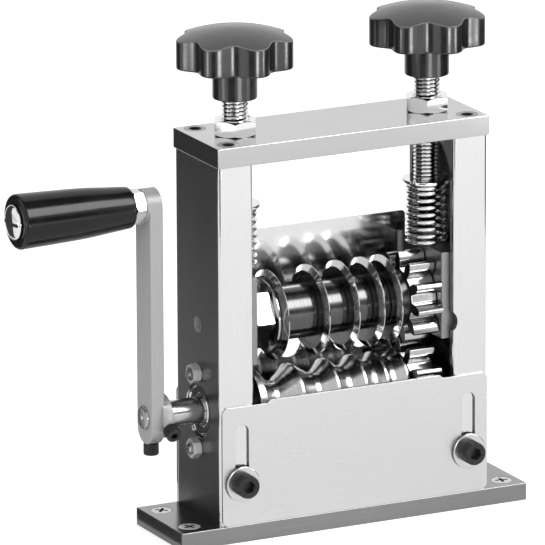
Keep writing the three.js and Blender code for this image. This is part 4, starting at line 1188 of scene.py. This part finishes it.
def make_cover_screw(side, way):
    place = (way * COVER_SCREW_X, COVER_SCREW_Z)
    washer_seat = SHEET_FRONT - 0.05
    seat = washer_seat - 1.4
    face = washer_seat - 8.4
    profile = rounded(rectangle(3.3, 8, washer_seat, seat), [0, 0.1, 0.5, 0], 4)
    washer = turned(f"{side}_washer", "y", profile, place, 96, 30)
    dress(flattened(washer), milled, "root", "chrome")
    # Painted shade: a dark outline on the washer's rim
    tone_faces(washer, painted_shade_steel, lambda at, normal: abs(normal.y) < 0.3)
    head = knurled(f"{side}_cap_head", "y", 5.2, washer_seat - 7.4, seat, place)
    rim = turned("socket_rim", "y", [
        (0, face), (4.2, face), (2.9, washer_seat - 7.1), (0, washer_seat - 7.1),
    ], place, 48)
    socket = prism("socket", "y", hexagon(5, 14 if way < 0 else 41, place), face, washer_seat - 4.2)
    cut(head, rim, socket)
    shank = rod("shank", "y", 3, washer_seat - 2, washer_seat + 10.2, place, 48)
    dress(flattened(joined(f"{side}_thumb_screw", head, shank)), black_oxide, "root", "black_oxide",
          f"{side}_cover_screw")


def make_guide():
    half, r, top, corner, shoulder = 47.8, 2, 128, 3, COVER_SHOULDER
    outline = (
        [(-COVER_HALF, COVER_BOTTOM), (COVER_HALF, COVER_BOTTOM)]
        + arc(COVER_HALF - corner, shoulder - corner, corner, 0, 90, 10)
        + [(half, shoulder)]
        + arc(half - r, top - r, r, 0, 90, 16)
        + arc(-half + r, top - r, r, 90, 180, 16)
        + [(-half, shoulder)]
        + arc(-COVER_HALF + corner, shoulder - corner, corner, 90, 180, 10)
    )
    plate = prism("guide_sheet", "y", outline, BACK, BACK + SHEET)
    cut(plate, *[
        rod("guide_hole", "y", across / 2, BACK - PAST, BACK + 2 + PAST, (edge, 67.5 + across / 2), 64)
        for edge, across in zip(BLADE_EDGES, [17, 13, 11, 9, 9])
    ])
    dress(bevelled(plate, 0.2), mirror_sheet, "root", "polished_steel", "guide_plate")
    for place in ((side * 57.5, z) for side in (-1, 1) for z in (20, 50)):
        screw = turned("guide_screw", "y", [
            (0, BACK + 0.9), (2.3, BACK + 0.9), (2.3, BACK + SHEET), (2.0, BACK + SHEET), (0, BACK + SHEET),
        ], place, 48)
        cut(screw, prism("socket", "y", hexagon(2, 20, place), BACK + 1, BACK + 2))
        dress(flattened(screw), black_oxide, "root", "black_oxide")


# Crank

HANDLE_AXIS = 152


def make_arm():
    r, bottom = 7.5, DRIVE_AXIS - 12
    handle = (0, HANDLE_AXIS)
    outline = arc(0, bottom + r, r, 180, 360, 48) + arc(0, HANDLE_AXIS, r, 0, 180, 48)
    arm = bevelled(prism("arm_bar", "x", outline, ARM_OUTER, ARM_INNER), 0.5, 3)
    hub_profile = rounded(rectangle(0, 10, ARM_INNER - PAST, ARM_INNER + 3.5), [0, 0, 0.5, 0], 4)
    boss_profile = rounded(rectangle(0, r, ARM_OUTER + PAST, ARM_OUTER - 1.2), [0, 0, 0.35, 0], 4)
    hub = turned("hub", "x", hub_profile, DRIVE_LINE, 128)
    boss = turned("boss", "x", boss_profile, handle, 96)
    cut(arm, hub, boss, operation="UNION")
    cut(
        arm,
        rod("end_bore", "x", 5.3, ARM_OUTER - PAST, ARM_INNER + PAST, DRIVE_LINE, 96),
        rod("hub_bore", "x", SHAFT_BORE, ARM_INNER - 0.05, ARM_INNER + 5, DRIVE_LINE, 96),
        rod("spindle_bore", "x", 4.1, ARM_OUTER - 3, ARM_INNER + PAST, handle, 64),
        rod("end_screw_bore", "z", 2.1, bottom - PAST, bottom + 5.2, (ARM_OUTER + 3.1, 0), 48),
    )
    dress(flattened(arm), aluminium, "drive", "satin_aluminium", "crank_arm")
    front_tilt, hub_radius = radians(24), 10
    front = small_cap_screw("hub_set_screw")
    front.matrix_world = (
        Matrix.Translation(Vector((ARM_INNER + 1.75, 0, DRIVE_AXIS)) * MM)
        @ Matrix.Rotation(pi / 2 + front_tilt, 4, "X")
        @ Matrix.Translation(Vector((0, 0, hub_radius)) * MM)
    )
    dress(front, black_oxide, "drive", "black_oxide", "crank_screw_front")
    end = small_cap_screw("arm_set_screw")
    end.matrix_world = (
        Matrix.Translation(Vector((ARM_OUTER + 3.1, 0, bottom)) * MM) @ Matrix.Rotation(pi, 4, "X")
    )
    dress(end, black_oxide, "drive", "black_oxide", "crank_screw_end")


def small_cap_screw(name):
    """A small socket screw on the Z axis that points down, its head standing on the origin."""
    centre = (0, 0)
    head = knurled(name, "z", 3.4, 5, 0, centre, 36, 0.25)
    cut(head, prism("socket", "z", hexagon(3, 10, centre), 2.4, 6))
    return flattened(joined(name, head, rod("shank", "z", 2, -4, 1, centre, 40)))


def make_handle():
    face = ARM_OUTER - 1.25
    axis = (0, HANDLE_AXIS)
    collar = hex_nut("hex_collar", "x", 14, 5.2, 6, 60, axis, face - 5.2)
    pin = rod("pin", "x", 4, face - 60, ARM_INNER - 0.4, axis, 64)
    dress(flattened(joined("handle_bolt", collar, pin)), milled, "drive", "chrome", "handle_spindle")
    start, end = face - 5.5, face - 60
    length, full, neck, bore, r = start - end, 12.2, 9.2, 4.3, 1.6
    swell = [(0.06, 0.09), (0.2, 0.3), (0.33, 0.53), (0.42, 0.65), (0.5, 0.72), (0.72, 0.86)]
    profile = (
        [(bore, start), (neck - 1, start)] + arc(neck - 1, start - 1, 1, 60, 0, 2)
        + [(neck + (full - neck) * share, start - along * length) for along, share in swell]
        + [polar(r, radians(-a), (full - r, end + r)) for a in (0, 22, 45, 68, 90)]
        + [(8.6, end), (8.3, end + 0.25), (bore, end + 0.25)]
    )
    grip = turned("grip_body", "x", profile, axis, 128, 40)
    dress(flattened(grip, 40), grip_plastic, "grip", "black_plastic", "handle_grip")
    seat, cap_radius = end - 0.3, 7.75
    dome = [
        (cap_radius * cos(radians(a)) ** 0.8, seat - 0.5 - 2.1 * sin(radians(a)))
        for a in range(0, 90, 6)
    ]
    dome.append((0, seat - 0.5 - 2.1))
    profile = [(0, seat), (7.5, seat), (cap_radius, seat - 0.2)] + dome
    cap = turned("grip_cap", "x", profile, axis, 96, 40)
    slot = prism(
        "slot", "z", rectangle(seat - 4, seat - 1.5, -9, 9), HANDLE_AXIS - 0.8, HANDLE_AXIS + 0.8,
    )
    dress(flattened(cut(cap, slot), 40), plated, "drive", "chrome", "handle_cap")


make_base()
for side, way in SIDES.items():
    make_column(way, f"{side}_column")
    make_cover_screw(side, way)
make_beam()
make_flat_screws()
make_adjusters()
make_drive_train()
make_cover()
make_guide()
make_arm()
make_handle()
